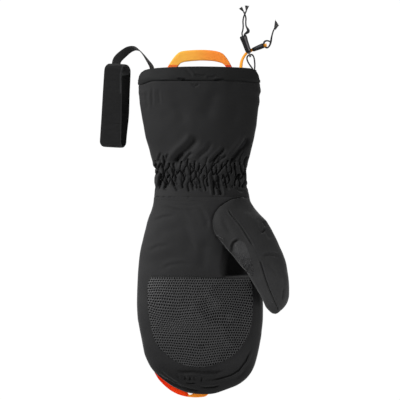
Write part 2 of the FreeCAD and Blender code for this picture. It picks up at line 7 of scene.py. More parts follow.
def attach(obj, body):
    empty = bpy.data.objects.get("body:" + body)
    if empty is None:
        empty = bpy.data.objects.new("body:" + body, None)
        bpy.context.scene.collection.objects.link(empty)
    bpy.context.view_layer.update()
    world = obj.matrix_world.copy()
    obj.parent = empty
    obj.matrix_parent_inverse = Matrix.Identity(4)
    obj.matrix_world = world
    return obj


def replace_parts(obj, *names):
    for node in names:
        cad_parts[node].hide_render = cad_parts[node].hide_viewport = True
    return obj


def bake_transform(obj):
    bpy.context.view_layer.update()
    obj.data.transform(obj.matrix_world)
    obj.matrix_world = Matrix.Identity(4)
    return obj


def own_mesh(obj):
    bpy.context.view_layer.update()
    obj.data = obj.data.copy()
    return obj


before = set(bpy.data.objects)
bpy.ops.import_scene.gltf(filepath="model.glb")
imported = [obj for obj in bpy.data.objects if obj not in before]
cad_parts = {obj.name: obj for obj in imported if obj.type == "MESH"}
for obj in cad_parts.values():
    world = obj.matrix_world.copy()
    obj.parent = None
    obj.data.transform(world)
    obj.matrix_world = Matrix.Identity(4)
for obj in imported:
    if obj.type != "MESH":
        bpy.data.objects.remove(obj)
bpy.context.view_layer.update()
scene = bpy.context.scene
MM = 0.001


# ------------------------------------------------------------------ camera
cam_data = bpy.data.cameras.new("camera")
cam = bpy.data.objects.new("camera", cam_data)
scene.collection.objects.link(cam)
cam.location = (0.0, 0.099, 6.0)
cam_data.sensor_width = 36
cam_data.lens = 36 * 5.987 / 0.440
cam_data.clip_end = 20
scene.camera = cam
scene.view_settings.view_transform = "Standard"
scene.view_settings.look = "None"

# ------------------------------------------------------------------ materials
def new_mat(name):
    m = bpy.data.materials.new(name)
    m.use_nodes = True
    nt = m.node_tree
    b = nt.nodes["Principled BSDF"]
    return m, nt, b


def coords(nt, scale=(1, 1, 1)):
    tc = nt.nodes.new("ShaderNodeTexCoord")
    mp = nt.nodes.new("ShaderNodeMapping")
    mp.inputs["Scale"].default_value = scale
    nt.links.new(tc.outputs["Object"], mp.inputs["Vector"])
    return mp.outputs["Vector"]


def noise(nt, vec, scale, detail=3.0, rough=0.55):
    n = nt.nodes.new("ShaderNodeTexNoise")
    n.inputs["Scale"].default_value = scale
    n.inputs["Detail"].default_value = detail
    n.inputs["Roughness"].default_value = rough
    nt.links.new(vec, n.inputs["Vector"])
    return n.outputs["Fac"]


def wave(nt, vec, scale, direction="X", distortion=0.4, profile="SIN"):
    w = nt.nodes.new("ShaderNodeTexWave")
    w.wave_type = "BANDS"
    w.bands_direction = direction
    w.wave_profile = profile
    w.inputs["Scale"].default_value = scale
    w.inputs["Distortion"].default_value = distortion
    w.inputs["Detail"].default_value = 1.0
    nt.links.new(vec, w.inputs["Vector"])
    return w.outputs["Fac"]


def math_node(nt, op, a, b):
    n = nt.nodes.new("ShaderNodeMath")
    n.operation = op
    for i, v in enumerate((a, b)):
        if isinstance(v, (int, float)):
            n.inputs[i].default_value = v
        else:
            nt.links.new(v, n.inputs[i])
    return n.outputs[0]


def ramp(nt, fac, stops):
    r = nt.nodes.new("ShaderNodeValToRGB")
    while len(r.color_ramp.elements) < len(stops):
        r.color_ramp.elements.new(0.5)
    for e, (p, c) in zip(r.color_ramp.elements, stops):
        e.position = p
        e.color = (*c, 1)
    nt.links.new(fac, r.inputs["Fac"])
    return r.outputs["Color"]


def bump(nt, height, strength, dist):
    b = nt.nodes.new("ShaderNodeBump")
    b.inputs["Strength"].default_value = strength
    b.inputs["Distance"].default_value = dist
    nt.links.new(height, b.inputs["Height"])
    return b.outputs["Normal"]


def fabric(name, dark, light, weave=2600.0, weave_depth=0.00006, rough=0.70, spec=0.18, sheen=0.16, mottle=38.0, fine=420.0):
    """Closely woven cloth: two crossed thread waves, a soft mottling and a faint sheen."""
    m, nt, b = new_mat(name)
    vec = coords(nt)
    big = noise(nt, vec, mottle, 4.0)
    small = noise(nt, vec, fine, 2.0)
    mixf = math_node(nt, "ADD", math_node(nt, "MULTIPLY", big, 0.7), math_node(nt, "MULTIPLY", small, 0.3))
    nt.links.new(ramp(nt, mixf, [(0.30, dark), (0.72, light)]), b.inputs["Base Color"])
    wx = wave(nt, vec, weave, "X", 0.25)
    wy = wave(nt, vec, weave, "Y", 0.25)
    h = math_node(nt, "ADD", math_node(nt, "MULTIPLY", wx, wy), math_node(nt, "MULTIPLY", small, 0.8))
    nt.links.new(bump(nt, h, 0.55, weave_depth), b.inputs["Normal"])
    rg = math_node(nt, "ADD", math_node(nt, "MULTIPLY", small, 0.12), rough - 0.06)
    nt.links.new(rg, b.inputs["Roughness"])
    b.inputs["Specular IOR Level"].default_value = spec
    b.inputs["Sheen Weight"].default_value = sheen
    b.inputs["Sheen Roughness"].default_value = 0.35
    return m


def webbing(name, dark, light, along="Y", pitch=1400.0, depth=0.00018, rough=0.68, spec=0.2, sheen=0.08):
    m, nt, b = new_mat(name)
    vec = coords(nt)
    small = noise(nt, vec, 600.0, 2.0)
    big = noise(nt, vec, 60.0, 2.0)
    f = math_node(nt, "ADD", math_node(nt, "MULTIPLY", small, 0.5), math_node(nt, "MULTIPLY", big, 0.5))
    nt.links.new(ramp(nt, f, [(0.32, dark), (0.68, light)]), b.inputs["Base Color"])
    a = wave(nt, vec, pitch, along, 0.5)
    c = wave(nt, vec, pitch * 0.8, "X" if along == "Y" else "Y", 0.8)
    nt.links.new(bump(nt, math_node(nt, "ADD", a, math_node(nt, "MULTIPLY", c, 0.5)), 0.6, depth), b.inputs["Normal"])
    nt.links.new(math_node(nt, "ADD", math_node(nt, "MULTIPLY", small, 0.15), rough - 0.07), b.inputs["Roughness"])
    b.inputs["Specular IOR Level"].default_value = spec
    b.inputs["Sheen Weight"].default_value = sheen
    return m


def plastic(name, dark, light, rough=0.42, spec=0.4):
    m, nt, b = new_mat(name)
    vec = coords(nt)
    small = noise(nt, vec, 900.0, 3.0)
    nt.links.new(ramp(nt, small, [(0.35, dark), (0.65, light)]), b.inputs["Base Color"])
    nt.links.new(bump(nt, small, 0.25, 0.00005), b.inputs["Normal"])
    nt.links.new(math_node(nt, "ADD", math_node(nt, "MULTIPLY", small, 0.2), rough - 0.1), b.inputs["Roughness"])
    b.inputs["Specular IOR Level"].default_value = spec
    return m


def side_gradient(m, left, right, x0, x1, band=0.0):
    """Recolours a webbing material from left to right across the object (metres), with soft facets; on the pull loop
    this change is painted light.
    """
    nt = m.node_tree
    b = nt.nodes["Principled BSDF"]
    tc = nt.nodes.new("ShaderNodeTexCoord")
    sep = nt.nodes.new("ShaderNodeSeparateXYZ")
    nt.links.new(tc.outputs["Object"], sep.inputs[0])
    n = noise(nt, tc.outputs["Object"], 55.0, 1.0)
    skew = math_node(nt, "ADD", sep.outputs[0], math_node(nt, "MULTIPLY", sep.outputs[1], band))
    f = math_node(nt, "ADD", math_node(nt, "DIVIDE", math_node(nt, "SUBTRACT", skew, x0), x1 - x0),
                  math_node(nt, "MULTIPLY", math_node(nt, "SUBTRACT", n, 0.5), 0.35))
    nt.links.new(ramp(nt, f, [(0.0, left), (1.0, right)]), b.inputs["Base Color"])


MAT = {
    "shell": fabric("shell_fabric", (0.0108, 0.0108, 0.0113), (0.0162, 0.0162, 0.0167)),
    # the thumb is cut from the shell fabric; this lighter copy is painted light where the raised thumb catches the lamp
    "thumb": fabric("thumb_fabric_painted_light", (0.0215, 0.0215, 0.0220), (0.0315, 0.0315, 0.0320)),
    "cuff": fabric("cuff_fabric", (0.0102, 0.0102, 0.0107), (0.0155, 0.0155, 0.0160), mottle=26.0),
    "hem": fabric("hem_fabric", (0.0068, 0.0071, 0.0073), (0.0106, 0.0110, 0.0112), mottle=30.0, sheen=0.07),
    "patch": fabric("patch_base", (0.0060, 0.0060, 0.0062), (0.0105, 0.0105, 0.0108), rough=0.6, weave=1500.0, weave_depth=0.0001),
    "dots": plastic("grip_ribs", (0.017, 0.017, 0.018), (0.045, 0.045, 0.046), rough=0.5, spec=0.35),
    # pits: a near-black copy of the grip colour, painted shade in the hollows of the moulded grip
    "pit": plastic("grip_pits_painted_shade", (0.0010, 0.0010, 0.0010), (0.0022, 0.0022, 0.0022), rough=0.9, spec=0.04),
    "thumb_patch": fabric("thumb_patch_base", (0.013, 0.013, 0.0135), (0.041, 0.041, 0.042), rough=0.7, weave=900.0, weave_depth=0.0003, mottle=700.0, fine=900.0),
    "stitch": webbing("stitch_thread", (0.006, 0.006, 0.006), (0.016, 0.016, 0.016), pitch=5000.0, depth=0.00004),
    "lining": fabric("lining_fleece", (0.010, 0.010, 0.011), (0.020, 0.020, 0.022), rough=0.9, weave=900.0, weave_depth=0.0003, sheen=0.2),
    "fill": fabric("wadding", (0.55, 0.55, 0.54), (0.75, 0.75, 0.73), rough=0.95, weave=500.0, weave_depth=0.0005),
    "membrane": fabric("membrane_film", (0.45, 0.48, 0.50), (0.60, 0.62, 0.64), rough=0.4, weave=3000.0),
    "band": webbing("band_elastic", (0.0015, 0.0015, 0.0017), (0.0036, 0.0036, 0.0039), along="Y", pitch=520.0, depth=0.0003),
    # the next three are lighter and darker copies of the band webbing: a painted highlight for the selvedge, painted
    # light for the top turn and painted shade for the inside of the loop
    "band_edge_highlight": webbing("band_elastic_selvedge_painted_highlight", (0.014, 0.014, 0.015), (0.024, 0.024, 0.025), along="Y", pitch=520.0, depth=0.0003),
    "band_turn_painted_light": webbing("band_elastic_turn_painted_light", (0.036, 0.036, 0.037), (0.066, 0.066, 0.067), along="X", pitch=520.0, depth=0.0003),
    "band_in_shade": webbing("band_elastic_inside_painted_shade", (0.0030, 0.0030, 0.0032), (0.0054, 0.0054, 0.0057), along="Y", pitch=520.0, depth=0.0003),
    "strap": webbing("leash_webbing", (0.0060, 0.0060, 0.0062), (0.0120, 0.0120, 0.0122), pitch=1500.0),
    "orange": webbing("loop_webbing", (0.86, 0.235, 0.022), (0.98, 0.330, 0.040), along="X", pitch=900.0, depth=0.00022),
    "tip_orange": webbing("tip_orange_webbing", (1.0, 0.27, 0.010), (1.0, 0.36, 0.030), pitch=900.0),
    "orange_hot": webbing("loop_webbing_inner", (0.78, 0.075, 0.006), (0.92, 0.120, 0.012), along="X", pitch=900.0, depth=0.00022),
    "red": webbing("tip_webbing_red", (0.62, 0.018, 0.004), (0.80, 0.045, 0.008), along="X", pitch=1200.0, depth=0.0002, rough=0.8, spec=0.06, sheen=0.0),
    "tape": webbing("tape_orange", (0.66, 0.235, 0.012), (0.88, 0.345, 0.022), along="Y", pitch=1800.0, depth=0.00012),
    "cord": webbing("cord_braid", (0.006, 0.006, 0.007), (0.018, 0.018, 0.020), pitch=2200.0, depth=0.00014),
    "cord_end": webbing("cord_end_fibres", (0.016, 0.016, 0.017), (0.036, 0.036, 0.038), along="X", pitch=2600.0, depth=0.0002),
    "lock": plastic("lock_plastic", (0.0060, 0.0060, 0.0066), (0.0130, 0.0130, 0.0140), rough=0.55, spec=0.12),
    # a lighter copy of the lock plastic, used as a painted highlight
    "lock_highlight": plastic("lock_plastic_painted_highlight", (0.020, 0.022, 0.026), (0.036, 0.039, 0.045)),
    "core": plastic("core_plastic", (0.075, 0.072, 0.075), (0.115, 0.110, 0.115), rough=0.5),
    "elastic": webbing("elastic_thread", (0.02, 0.02, 0.02), (0.04, 0.04, 0.04), pitch=1200.0),
}


def paint_light_along_axis(m, axis, stops):
    """Paints light and shade into a material: multiplies its base colour by a grey that changes along one object axis
    (metres).
    """
    nt = m.node_tree
    b = nt.nodes["Principled BSDF"]
    old = b.inputs["Base Color"].links[0].from_socket
    tc = nt.nodes.new("ShaderNodeTexCoord")
    sep = nt.nodes.new("ShaderNodeSeparateXYZ")
    nt.links.new(tc.outputs["Object"], sep.inputs[0])
    lo, hi = stops[0][0], stops[-1][0]
    f = math_node(nt, "DIVIDE", math_node(nt, "SUBTRACT", sep.outputs[axis], lo), hi - lo)
    g = ramp(nt, f, [((p - lo) / (hi - lo), (v, v, v)) for p, v in stops])
    mix = nt.nodes.new("ShaderNodeMix")
    mix.data_type = "RGBA"
    mix.blend_type = "MULTIPLY"
    mix.inputs[0].default_value = 1.0
    nt.links.new(old, mix.inputs[6])
    nt.links.new(g, mix.inputs[7])
    nt.links.new(mix.outputs[2], b.inputs["Base Color"])


# painted shade: the cuff and the hem are painted darker towards their right side, away from the light on the left
paint_light_along_axis(MAT["cuff"], 0, [(-0.07, 1.02), (-0.01, 0.80), (0.012, 0.70), (0.030, 0.42), (0.07, 0.44)])
paint_light_along_axis(MAT["hem"], 0, [(-0.07, 1.02), (-0.01, 0.72), (0.01, 0.56), (0.035, 0.36), (0.07, 0.38)])
# painted light and shade along the thumb: lightest near its tip, darker towards the wrist
paint_light_along_axis(MAT["thumb"], 1, [(-0.03, 0.86), (-0.012, 1.04), (0.012, 0.90), (0.032, 0.62), (0.06, 0.46), (0.085, 0.43)])
# painted shade: the shell is painted darker at the fingertips and just below the wrist seam
paint_light_along_axis(MAT["shell"], 1, [(-0.120, 0.42), (-0.095, 0.50), (-0.078, 1.0), (0.080, 1.0), (0.100, 0.78)])
# painted light on the left edge and on a strip down the right part of the hand, painted shade along the right edge
paint_light_along_axis(MAT["shell"], 0, [(-0.065, 1.10), (-0.045, 1.0), (0.012, 1.0), (0.028, 1.25), (0.044, 1.15), (0.054, 0.80)])
# pebbled grip on the thumb: raised grains with painted shade in the gaps between them and painted light on the grain
# tops, strongest towards its lower left
_nt = MAT["thumb_patch"].node_tree
_b = _nt.nodes["Principled BSDF"]
_tc = _nt.nodes.new("ShaderNodeTexCoord")
_vo = _nt.nodes.new("ShaderNodeTexVoronoi")
_vo.feature = "F1"
_vo.inputs["Scale"].default_value = 720.0
_nt.links.new(_tc.outputs["Object"], _vo.inputs["Vector"])
_sep = _nt.nodes.new("ShaderNodeSeparateXYZ")
_nt.links.new(_tc.outputs["Object"], _sep.inputs[0])
_low = math_node(_nt, "DIVIDE", math_node(_nt, "SUBTRACT", 0.046, _sep.outputs[1]), 0.022)
_low = math_node(_nt, "MINIMUM", math_node(_nt, "MAXIMUM", _low, 0.12), 1.0)
_gap_shade = ramp(_nt, _vo.outputs["Distance"], [(0.30, (1.35, 1.35, 1.35)), (0.62, (0.22, 0.22, 0.22))])
_mx = _nt.nodes.new("ShaderNodeMix")
_mx.data_type, _mx.blend_type = "RGBA", "MULTIPLY"
_nt.links.new(_low, _mx.inputs[0])
_nt.links.new(_b.inputs["Base Color"].links[0].from_socket, _mx.inputs[6])
_nt.links.new(_gap_shade, _mx.inputs[7])
_nt.links.new(_mx.outputs[2], _b.inputs["Base Color"])
_inv = math_node(_nt, "SUBTRACT", 1.0, _vo.outputs["Distance"])
_nt.links.new(bump(_nt, math_node(_nt, "MULTIPLY", _inv, _low), 0.9, 0.0006), _b.inputs["Normal"])
# painted light: the pull loop is lighter and yellower towards its left, where its twisted facets face the lamp
side_gradient(MAT["orange"], (1.0, 0.48, 0.060), (1.0, 0.28, 0.030), -0.020 + 0.26 * 0.4, 0.016 + 0.26 * 0.4, 0.4)
side_gradient(MAT["orange_hot"], (0.90, 0.170, 0.022), (0.80, 0.060, 0.010), -0.030, 0.034)
side_gradient(MAT["red"], (0.60, 0.014, 0.003), (0.95, 0.060, 0.005), -0.045, -0.012)
# painted glow: the fingertip loop's red and orange get a faint emission to brighten them where the mitten's tip shades
# them
for _k, _c, _e in (("red", (1.0, 0.035, 0.0), 0.10), ("tip_orange", (1.0, 0.22, 0.0), 0.16)):
    _p = MAT[_k].node_tree.nodes["Principled BSDF"]
    _p.inputs["Emission Color"].default_value = (*_c, 1)
    _p.inputs["Emission Strength"].default_value = _e


# ------------------------------------------------------------------ mesh helpers
def link(name, verts, faces, mat, smooth=True):
    me = bpy.data.meshes.new(name)
    me.from_pydata([tuple(map(float, v)) for v in verts], [], [tuple(map(int, f)) for f in faces])
    me.materials.append(mat)
    me.validate()
    bm = bmesh.new()
    bm.from_mesh(me)
    bmesh.ops.recalc_face_normals(bm, faces=bm.faces)
    bm.to_mesh(me)
    bm.free()
    if smooth:
        me.polygons.foreach_set("use_smooth", [True] * len(me.polygons))
    me.update()
    o = bpy.data.objects.new(name, me)
    scene.collection.objects.link(o)
    return o


def grid_faces(nv, nu, off=0, closed_u=False, flip=False):
    f = []
    for i in range(nv - 1):
        for j in range(nu if closed_u else nu - 1):
            j2 = (j + 1) % nu
            q = (off + i * nu + j, off + i * nu + j2, off + (i + 1) * nu + j2, off + (i + 1) * nu + j)
            f.append(q[::-1] if flip else q)
    return f


def normals(P, closed_u=False):
    """Unit normals of a grid P[v, u, 3] by central differences."""
    dv = np.gradient(P, axis=0)
    if closed_u:
        du = (np.roll(P, -1, 1) - np.roll(P, 1, 1)) / 2
    else:
        du = np.gradient(P, axis=1)
    n = np.cross(du, dv)
    ln = np.linalg.norm(n, axis=2, keepdims=True)
    return n / np.maximum(ln, 1e-12)


def shell(name, P, thick, mat, outward, closed_u=False, inner=None):
    """Closed sheet of cloth: grid P is its outer face; outward is +1 or -1 for the side its normals should face."""
    nv, nu = P.shape[:2]
    n = normals(P, closed_u) * outward
    Q = inner if inner is not None else P - n * thick
    verts = np.vstack([P.reshape(-1, 3), Q.reshape(-1, 3)]) * MM
    N = nv * nu
    fl = outward < 0
    faces = grid_faces(nv, nu, 0, closed_u, fl) + grid_faces(nv, nu, N, closed_u, not fl)
    rng = range(nu) if closed_u else range(nu - 1)
    for j in rng:
        j2 = (j + 1) % nu
        a, b = j, j2
        q = (b, a, N + a, N + b)
        faces.append(q[::-1] if fl else q)
        a, b = (nv - 1) * nu + j, (nv - 1) * nu + j2
        q = (a, b, N + b, N + a)
        faces.append(q[::-1] if fl else q)
    if not closed_u:
        for i in range(nv - 1):
            a, b = i * nu, (i + 1) * nu
            q = (a, b, N + b, N + a)
            faces.append(q[::-1] if fl else q)
            a, b = i * nu + nu - 1, (i + 1) * nu + nu - 1
            q = (b, a, N + a, N + b)
            faces.append(q[::-1] if fl else q)
    o = link(name, verts, faces, mat)
    o.data.set_sharp_from_angle(angle=math.radians(72))
    return o


def px(a):
    a = np.asarray(a, float)
    return np.stack([(a[..., 0] - 200) * 1.1, (290 - a[..., 1]) * 1.1], -1)


def resample(pts, n, smooth=True):
    """n points evenly spaced along a smooth curve through pts."""
    p = np.asarray(pts, float)
    if smooth and len(p) > 2:
        ext = np.vstack([2 * p[0] - p[1], p, 2 * p[-1] - p[-2]])
        out = []
        for i in range(1, len(ext) - 2):
            t = np.linspace(0, 1, 12, endpoint=False)[:, None]
            a, b, c, d = ext[i - 1], ext[i], ext[i + 1], ext[i + 2]
            out.append(0.5 * ((2 * b) + (-a + c) * t + (2 * a - 5 * b + 4 * c - d) * t ** 2 + (-a + 3 * b - 3 * c + d) * t ** 3))
        p = np.vstack(out + [ext[-2][None]])
    s = np.concatenate([[0], np.cumsum(np.linalg.norm(np.diff(p, axis=0), axis=1))])
    if np.ndim(n) == 0:
        q = np.linspace(0, s[-1], int(n))
    else:
        q = np.asarray(n) * s[-1]
    return np.stack([np.interp(q, s, p[:, k]) for k in range(p.shape[1])], -1)


def table(rows, x):
    """Smooth (monotone cubic) interpolation of rows [(x, a, b, ...)], any order."""
    r = np.array(sorted(rows, key=lambda t: t[0]), float)
    xs = r[:, 0]
    x = np.clip(np.asarray(x, float), xs[0], xs[-1])
    i = np.clip(np.searchsorted(xs, x) - 1, 0, len(xs) - 2)
    out = []
    for k in range(1, r.shape[1]):
        y = r[:, k]
        d = np.diff(y) / np.diff(xs)
        m = np.empty_like(y)
        m[1:-1] = np.where(d[:-1] * d[1:] > 0, 2 * d[:-1] * d[1:] / (d[:-1] + d[1:] + 1e-12), 0)
        m[0], m[-1] = d[0], d[-1]
        h = xs[i + 1] - xs[i]
        t = (x - xs[i]) / h
        out.append((2 * t ** 3 - 3 * t ** 2 + 1) * y[i] + (t ** 3 - 2 * t ** 2 + t) * h * m[i]
                   + (-2 * t ** 3 + 3 * t ** 2) * y[i + 1] + (t ** 3 - t ** 2) * h * m[i + 1])
    return out


_rs = np.random.RandomState(7)
_NT = _rs.rand(8, 64, 64)


def vnoise(x, y, k=0):
    """Smooth random field in 0..1, one cell per unit."""
    x, y = np.asarray(x, float), np.asarray(y, float)
    xi, yi = np.floor(x).astype(int), np.floor(y).astype(int)
    fx, fy = x - xi, y - yi
    fx, fy = fx * fx * (3 - 2 * fx), fy * fy * (3 - 2 * fy)
    T = _NT[k % 8]
    a = T[xi % 64, yi % 64] * (1 - fx) + T[(xi + 1) % 64, yi % 64] * fx
    b = T[xi % 64, (yi + 1) % 64] * (1 - fx) + T[(xi + 1) % 64, (yi + 1) % 64] * fx
    return a * (1 - fy) + b * fy


def smoothstep(a, b, x):
    t = np.clip((x - a) / (b - a), 0, 1)
    return t * t * (3 - 2 * t)


def line_dist(X, Y, pts):
    """Signed distance to a polyline (positive on its left), and place 0..1 along it."""
    p = np.asarray(pts, float)
    seg = np.diff(p, axis=0)
    ln = np.linalg.norm(seg, axis=1)
    cum = np.concatenate([[0], np.cumsum(ln)])
    best = np.full(X.shape, 1e9)
    sgn = np.zeros(X.shape)
    along = np.zeros(X.shape)
    for i in range(len(seg)):
        dx, dy = X - p[i, 0], Y - p[i, 1]
        t = np.clip((dx * seg[i, 0] + dy * seg[i, 1]) / ln[i] ** 2, 0, 1)
        ex, ey = dx - t * seg[i, 0], dy - t * seg[i, 1]
        d = np.hypot(ex, ey)
        c = seg[i, 0] * dy - seg[i, 1] * dx
        m = d < best
        best = np.where(m, d, best)
        sgn = np.where(m, np.sign(c), sgn)
        along = np.where(m, (cum[i] + t * ln[i]) / cum[-1], along)
    return best * sgn, along


def crease(X, Y, pts_px, depth, width, ridge=0.0, offset=0.0, taper=0.18, side=0):
    """Height change of a fold along a line: a valley of that depth, with an optional ridge beside it."""
    d, s = line_dist(X, Y, px(pts_px))
    env = smoothstep(0, taper, s) * smoothstep(0, taper, 1 - s) if taper > 0 else 1.0
    v = -depth * np.exp(-(d / width) ** 2)
    if side > 0:
        v = -depth * np.where(d > 0, np.exp(-(d / width) ** 2), np.exp(-(d / (width * 0.35)) ** 2))
    elif side < 0:
        v = -depth * np.where(d < 0, np.exp(-(d / width) ** 2), np.exp(-(d / (width * 0.35)) ** 2))
    if ridge:
        v = v + ridge * np.exp(-((d - offset) / (width * 0.9)) ** 2)
    return v * env


# ------------------------------------------------------------------ cords
def spline(name, pts_mm, radius_mm, mat, flat=None, tilts=None):
    cu = bpy.data.curves.new(name, "CURVE")
    cu.dimensions = "3D"
    sp = cu.splines.new("NURBS")
    sp.points.add(len(pts_mm) - 1)
    for p, q in zip(sp.points, pts_mm):
        p.co = (q[0] * MM, q[1] * MM, q[2] * MM, 1)
    sp.order_u = 3
    sp.use_endpoint_u = True
    sp.resolution_u = 12
    if flat is None:
        cu.bevel_depth = radius_mm * MM
        cu.bevel_resolution = 4
        cu.use_fill_caps = True
    cu.materials.append(mat)
    o = bpy.data.objects.new(name, cu)
    scene.collection.objects.link(o)
    return o


def curve_length(o):
    me = curve_path(o)
    return float(np.linalg.norm(np.diff(me, axis=0), axis=1).sum())


def curve_path(o):
    """Points of the curve's own line, in metres."""
    c = o.data
    keep = (c.bevel_depth, c.bevel_object, c.use_fill_caps)
    c.bevel_depth = 0
    c.bevel_object = None
    me = bpy.data.meshes.new_from_object(o)
    P = np.array([v.co for v in me.vertices], float).reshape(-1, 3)
    bpy.data.meshes.remove(me)
    c.bevel_depth = keep[0]
    return P


def frames_along(P):
    T = np.gradient(P, axis=0)
    T /= np.linalg.norm(T, axis=1, keepdims=True)
    return T


def tube(name, P, radii, mat, sides=12, strands=0, twist=0.0, ripple=0.0):
    """Mesh tube round path P (metres) with its own radius at each point (metres)."""
    T = frames_along(P)
    ref = np.array([0.0, 0.0, 1.0])
    u = np.cross(T[0], ref)
    u = u / np.linalg.norm(u)
    U = [u]
    for i in range(1, len(P)):
        v = U[-1] - T[i] * np.dot(U[-1], T[i])
        U.append(v / np.linalg.norm(v))
    U = np.array(U)
    V = np.cross(T, U)
    s = np.concatenate([[0], np.cumsum(np.linalg.norm(np.diff(P, axis=0), axis=1))])
    ang = np.linspace(0, 2 * math.pi, sides, endpoint=False)
    R = np.asarray(radii)[:, None] * np.ones((1, sides))
    if ripple:
        R = R * (1 + ripple * np.cos(strands * ang[None] + twist * s[:, None]) * np.cos(strands * ang[None] - twist * s[:, None]))
    G = P[:, None] + R[..., None] * (np.cos(ang)[None, :, None] * U[:, None] + np.sin(ang)[None, :, None] * V[:, None])
    verts = np.vstack([G.reshape(-1, 3), P[:1], P[-1:]])
    nv, nu = G.shape[:2]
    faces = grid_faces(nv, nu, 0, True, True)
    a, b = nv * nu, nv * nu + 1
    for j in range(nu):
        j2 = (j + 1) % nu
        faces.append((a, j, j2))
        faces.append((b, (nv - 1) * nu + j2, (nv - 1) * nu + j))
    return link(name, verts, faces, mat)


LOOP = [(57.9, 243.1, 16.5), (55.2, 246.8, 14.4), (52.7, 250.8, 11.6), (51.4, 254.8, 9.1), (52.3, 257.6, 7.8),
        (54.7, 258.75, 7.5), (57.2, 259.3, 7.6), (59.0, 257.2, 8.5), (59.9, 253.4, 10.6), (60.3, 248.4, 13.6), (60.2, 244.0, 16.0), (59.8, 241.3, 17.1)]
TAIL_L = [(48.0, 275.3, 7.5), (46.6, 279.4, 7.4), (46.1, 282.9, 6.3), (47.2, 285.9, 4.7), (47.7, 290.4, 3.0), (47.3, 294.9, 2.0),
          (47.6, 298.9, 2.2), (48.6, 302.2, 2.9), (50.0, 305.0, 2.7), (51.1, 307.7, 1.7)]
TAIL_R = [(49.6, 275.9, 7.5), (48.2, 280.9, 7.4), (50.9, 282.7, 6.6), (53.5, 284.6, 5.6), (52.6, 287.5, 4.4), (50.8, 290.0, 3.1),
          (50.3, 294.6, 1.9), (50.8, 299.2, 0.9), (49.7, 303.3, 0.8), (47.9, 306.9, 0.85)]
TAPE = [(44.9, 244.2, 9.6), (45.3, 249.6, 6.6), (47.0, 254.9, 3.6), (49.8, 259.4, 1.7), (53.4, 262.6, 1.45), (57.6, 264.5, 2.6),
        (64.0, 266.9, 2.85), (70.5, 269.15, 2.9), (73.4, 269.8, 2.6)]
PULL = [(77.0, 273.6, 2.9), (74.7, 274.7, 2.9), (71.6, 274.2, 2.3), (70.2, 272.2, 1.3), (70.6, 269.6, 0.75), (71.8, 267.3, 1.0),
        (74.0, 266.5, 1.7), (76.0, 268.0, 2.0), (77.4, 270.6, 1.5), (78.2, 273.7, 0.9), (78.7, 277.5, 0.8), (79.6, 281.6, 0.8),
        (80.7, 285.2, 0.8), (82.1, 288.0, 0.85)]


def cord_piece(name, pts, dia, mat, radii=None, ripple=0.06):
    g = spline(name + "_line", pts, dia / 2, mat)
    P = curve_path(g)
    P = resample(P, max(60, int(len(P))), smooth=False)
    bpy.data.objects.remove(g)
    s = np.linspace(0, 1, len(P))
    R = np.full(len(P), (dia / 2 + 0.08) * MM) if radii is None else np.array([radii(t) for t in s]) * MM
    o = tube(name, P, R, mat, sides=16, strands=4, twist=2600.0, ripple=ripple)
    L = float(np.linalg.norm(np.diff(P, axis=0), axis=1).sum())
    return o, P, L


def tape_piece(name, pts, wide, thick, mat, turn):
    """Flat tape: its width swings from one side to the other as the tape twists."""
    g = spline(name + "_line", pts, 0.5, mat)
    P = resample(curve_path(g), 90, smooth=False)
    bpy.data.objects.remove(g)
    T = frames_along(P)
    s = np.linspace(0, 1, len(P))
    n = np.cross(T, np.array([0, 0, 1.0]))
    n /= np.linalg.norm(n, axis=1, keepdims=True)
    b = np.cross(n, T)
    a = np.interp(s, *turn)
    W = n * np.cos(a)[:, None] + b * np.sin(a)[:, None]
    Nn = np.cross(W, T)
    prof = [(-1, -0.6), (-0.94, -1), (0, -1.15), (0.94, -1), (1, -0.6), (1, 0.6), (0.94, 1), (0, 1.15), (-0.94, 1), (-1, 0.6)]
    w = np.interp(s, np.linspace(0, 1, len(wide)), wide) * MM / 2
    G = np.stack([P + W * (w * x)[:, None] + Nn * (thick / 2 * MM * y) for x, y in prof], 1)
    nv, nu = G.shape[:2]
    verts = np.vstack([G.reshape(-1, 3), P[:1], P[-1:]])
    faces = grid_faces(nv, nu, 0, True, False)
    for j in range(nu):
        j2 = (j + 1) % nu
        faces.append((nv * nu, j2, j))
        faces.append((nv * nu + 1, (nv - 1) * nu + j, (nv - 1) * nu + j2))
    o = link(name, verts, faces, mat)
    return o, P, float(np.linalg.norm(np.diff(P, axis=0), axis=1).sum())


def blade(name, tip, base_a, base_b, z0, z1, mat, thick=0.9, fray=7, root=1.3):
    """Flared, heat-sealed cord end: a fan of fibres from the cord's end (tip) to an uneven edge from base_a to base_b."""
    tip, a, b = np.array(tip, float), np.array(base_a, float), np.array(base_b, float)
    verts, faces = [], []
    n = fray
    for k in range(n):
        f0, f1 = k / n, (k + 0.985) / n
        e0, e1 = a + (b - a) * f0, a + (b - a) * f1
        outd = (e0 + e1) / 2 - tip
        jag = 1 + 0.10 * math.sin(k * 2.7 + 1)
        e0, e1 = tip + (e0 - tip) * jag, tip + (e1 - tip) * (2 - jag)
        side = (b - a) / np.linalg.norm(b - a)
        t0, t1 = tip + side * (f0 - 0.5) * root, tip + side * (f1 - 0.5) * root
        zt, zb = z0, z1 + 0.25 * math.sin(k * 1.9)
        i = len(verts)
        for (q, z, h) in ((t0, zt, 0.55), (t1, zt, 0.55), (e1, zb, 0.3), (e0, zb, 0.3)):
            verts.append((q[0], q[1], z - h * thick / 2))
            verts.append((q[0], q[1], z + h * thick / 2 + (0.12 if k % 2 else 0)))
        faces += [(i, i + 2, i + 4, i + 6), (i + 1, i + 7, i + 5, i + 3), (i, i + 1, i + 3, i + 2), (i + 2, i + 3, i + 5, i + 4),
                  (i + 4, i + 5, i + 7, i + 6), (i + 6, i + 7, i + 1, i)]
    return link(name, np.array(verts) * MM, faces, mat, smooth=False)


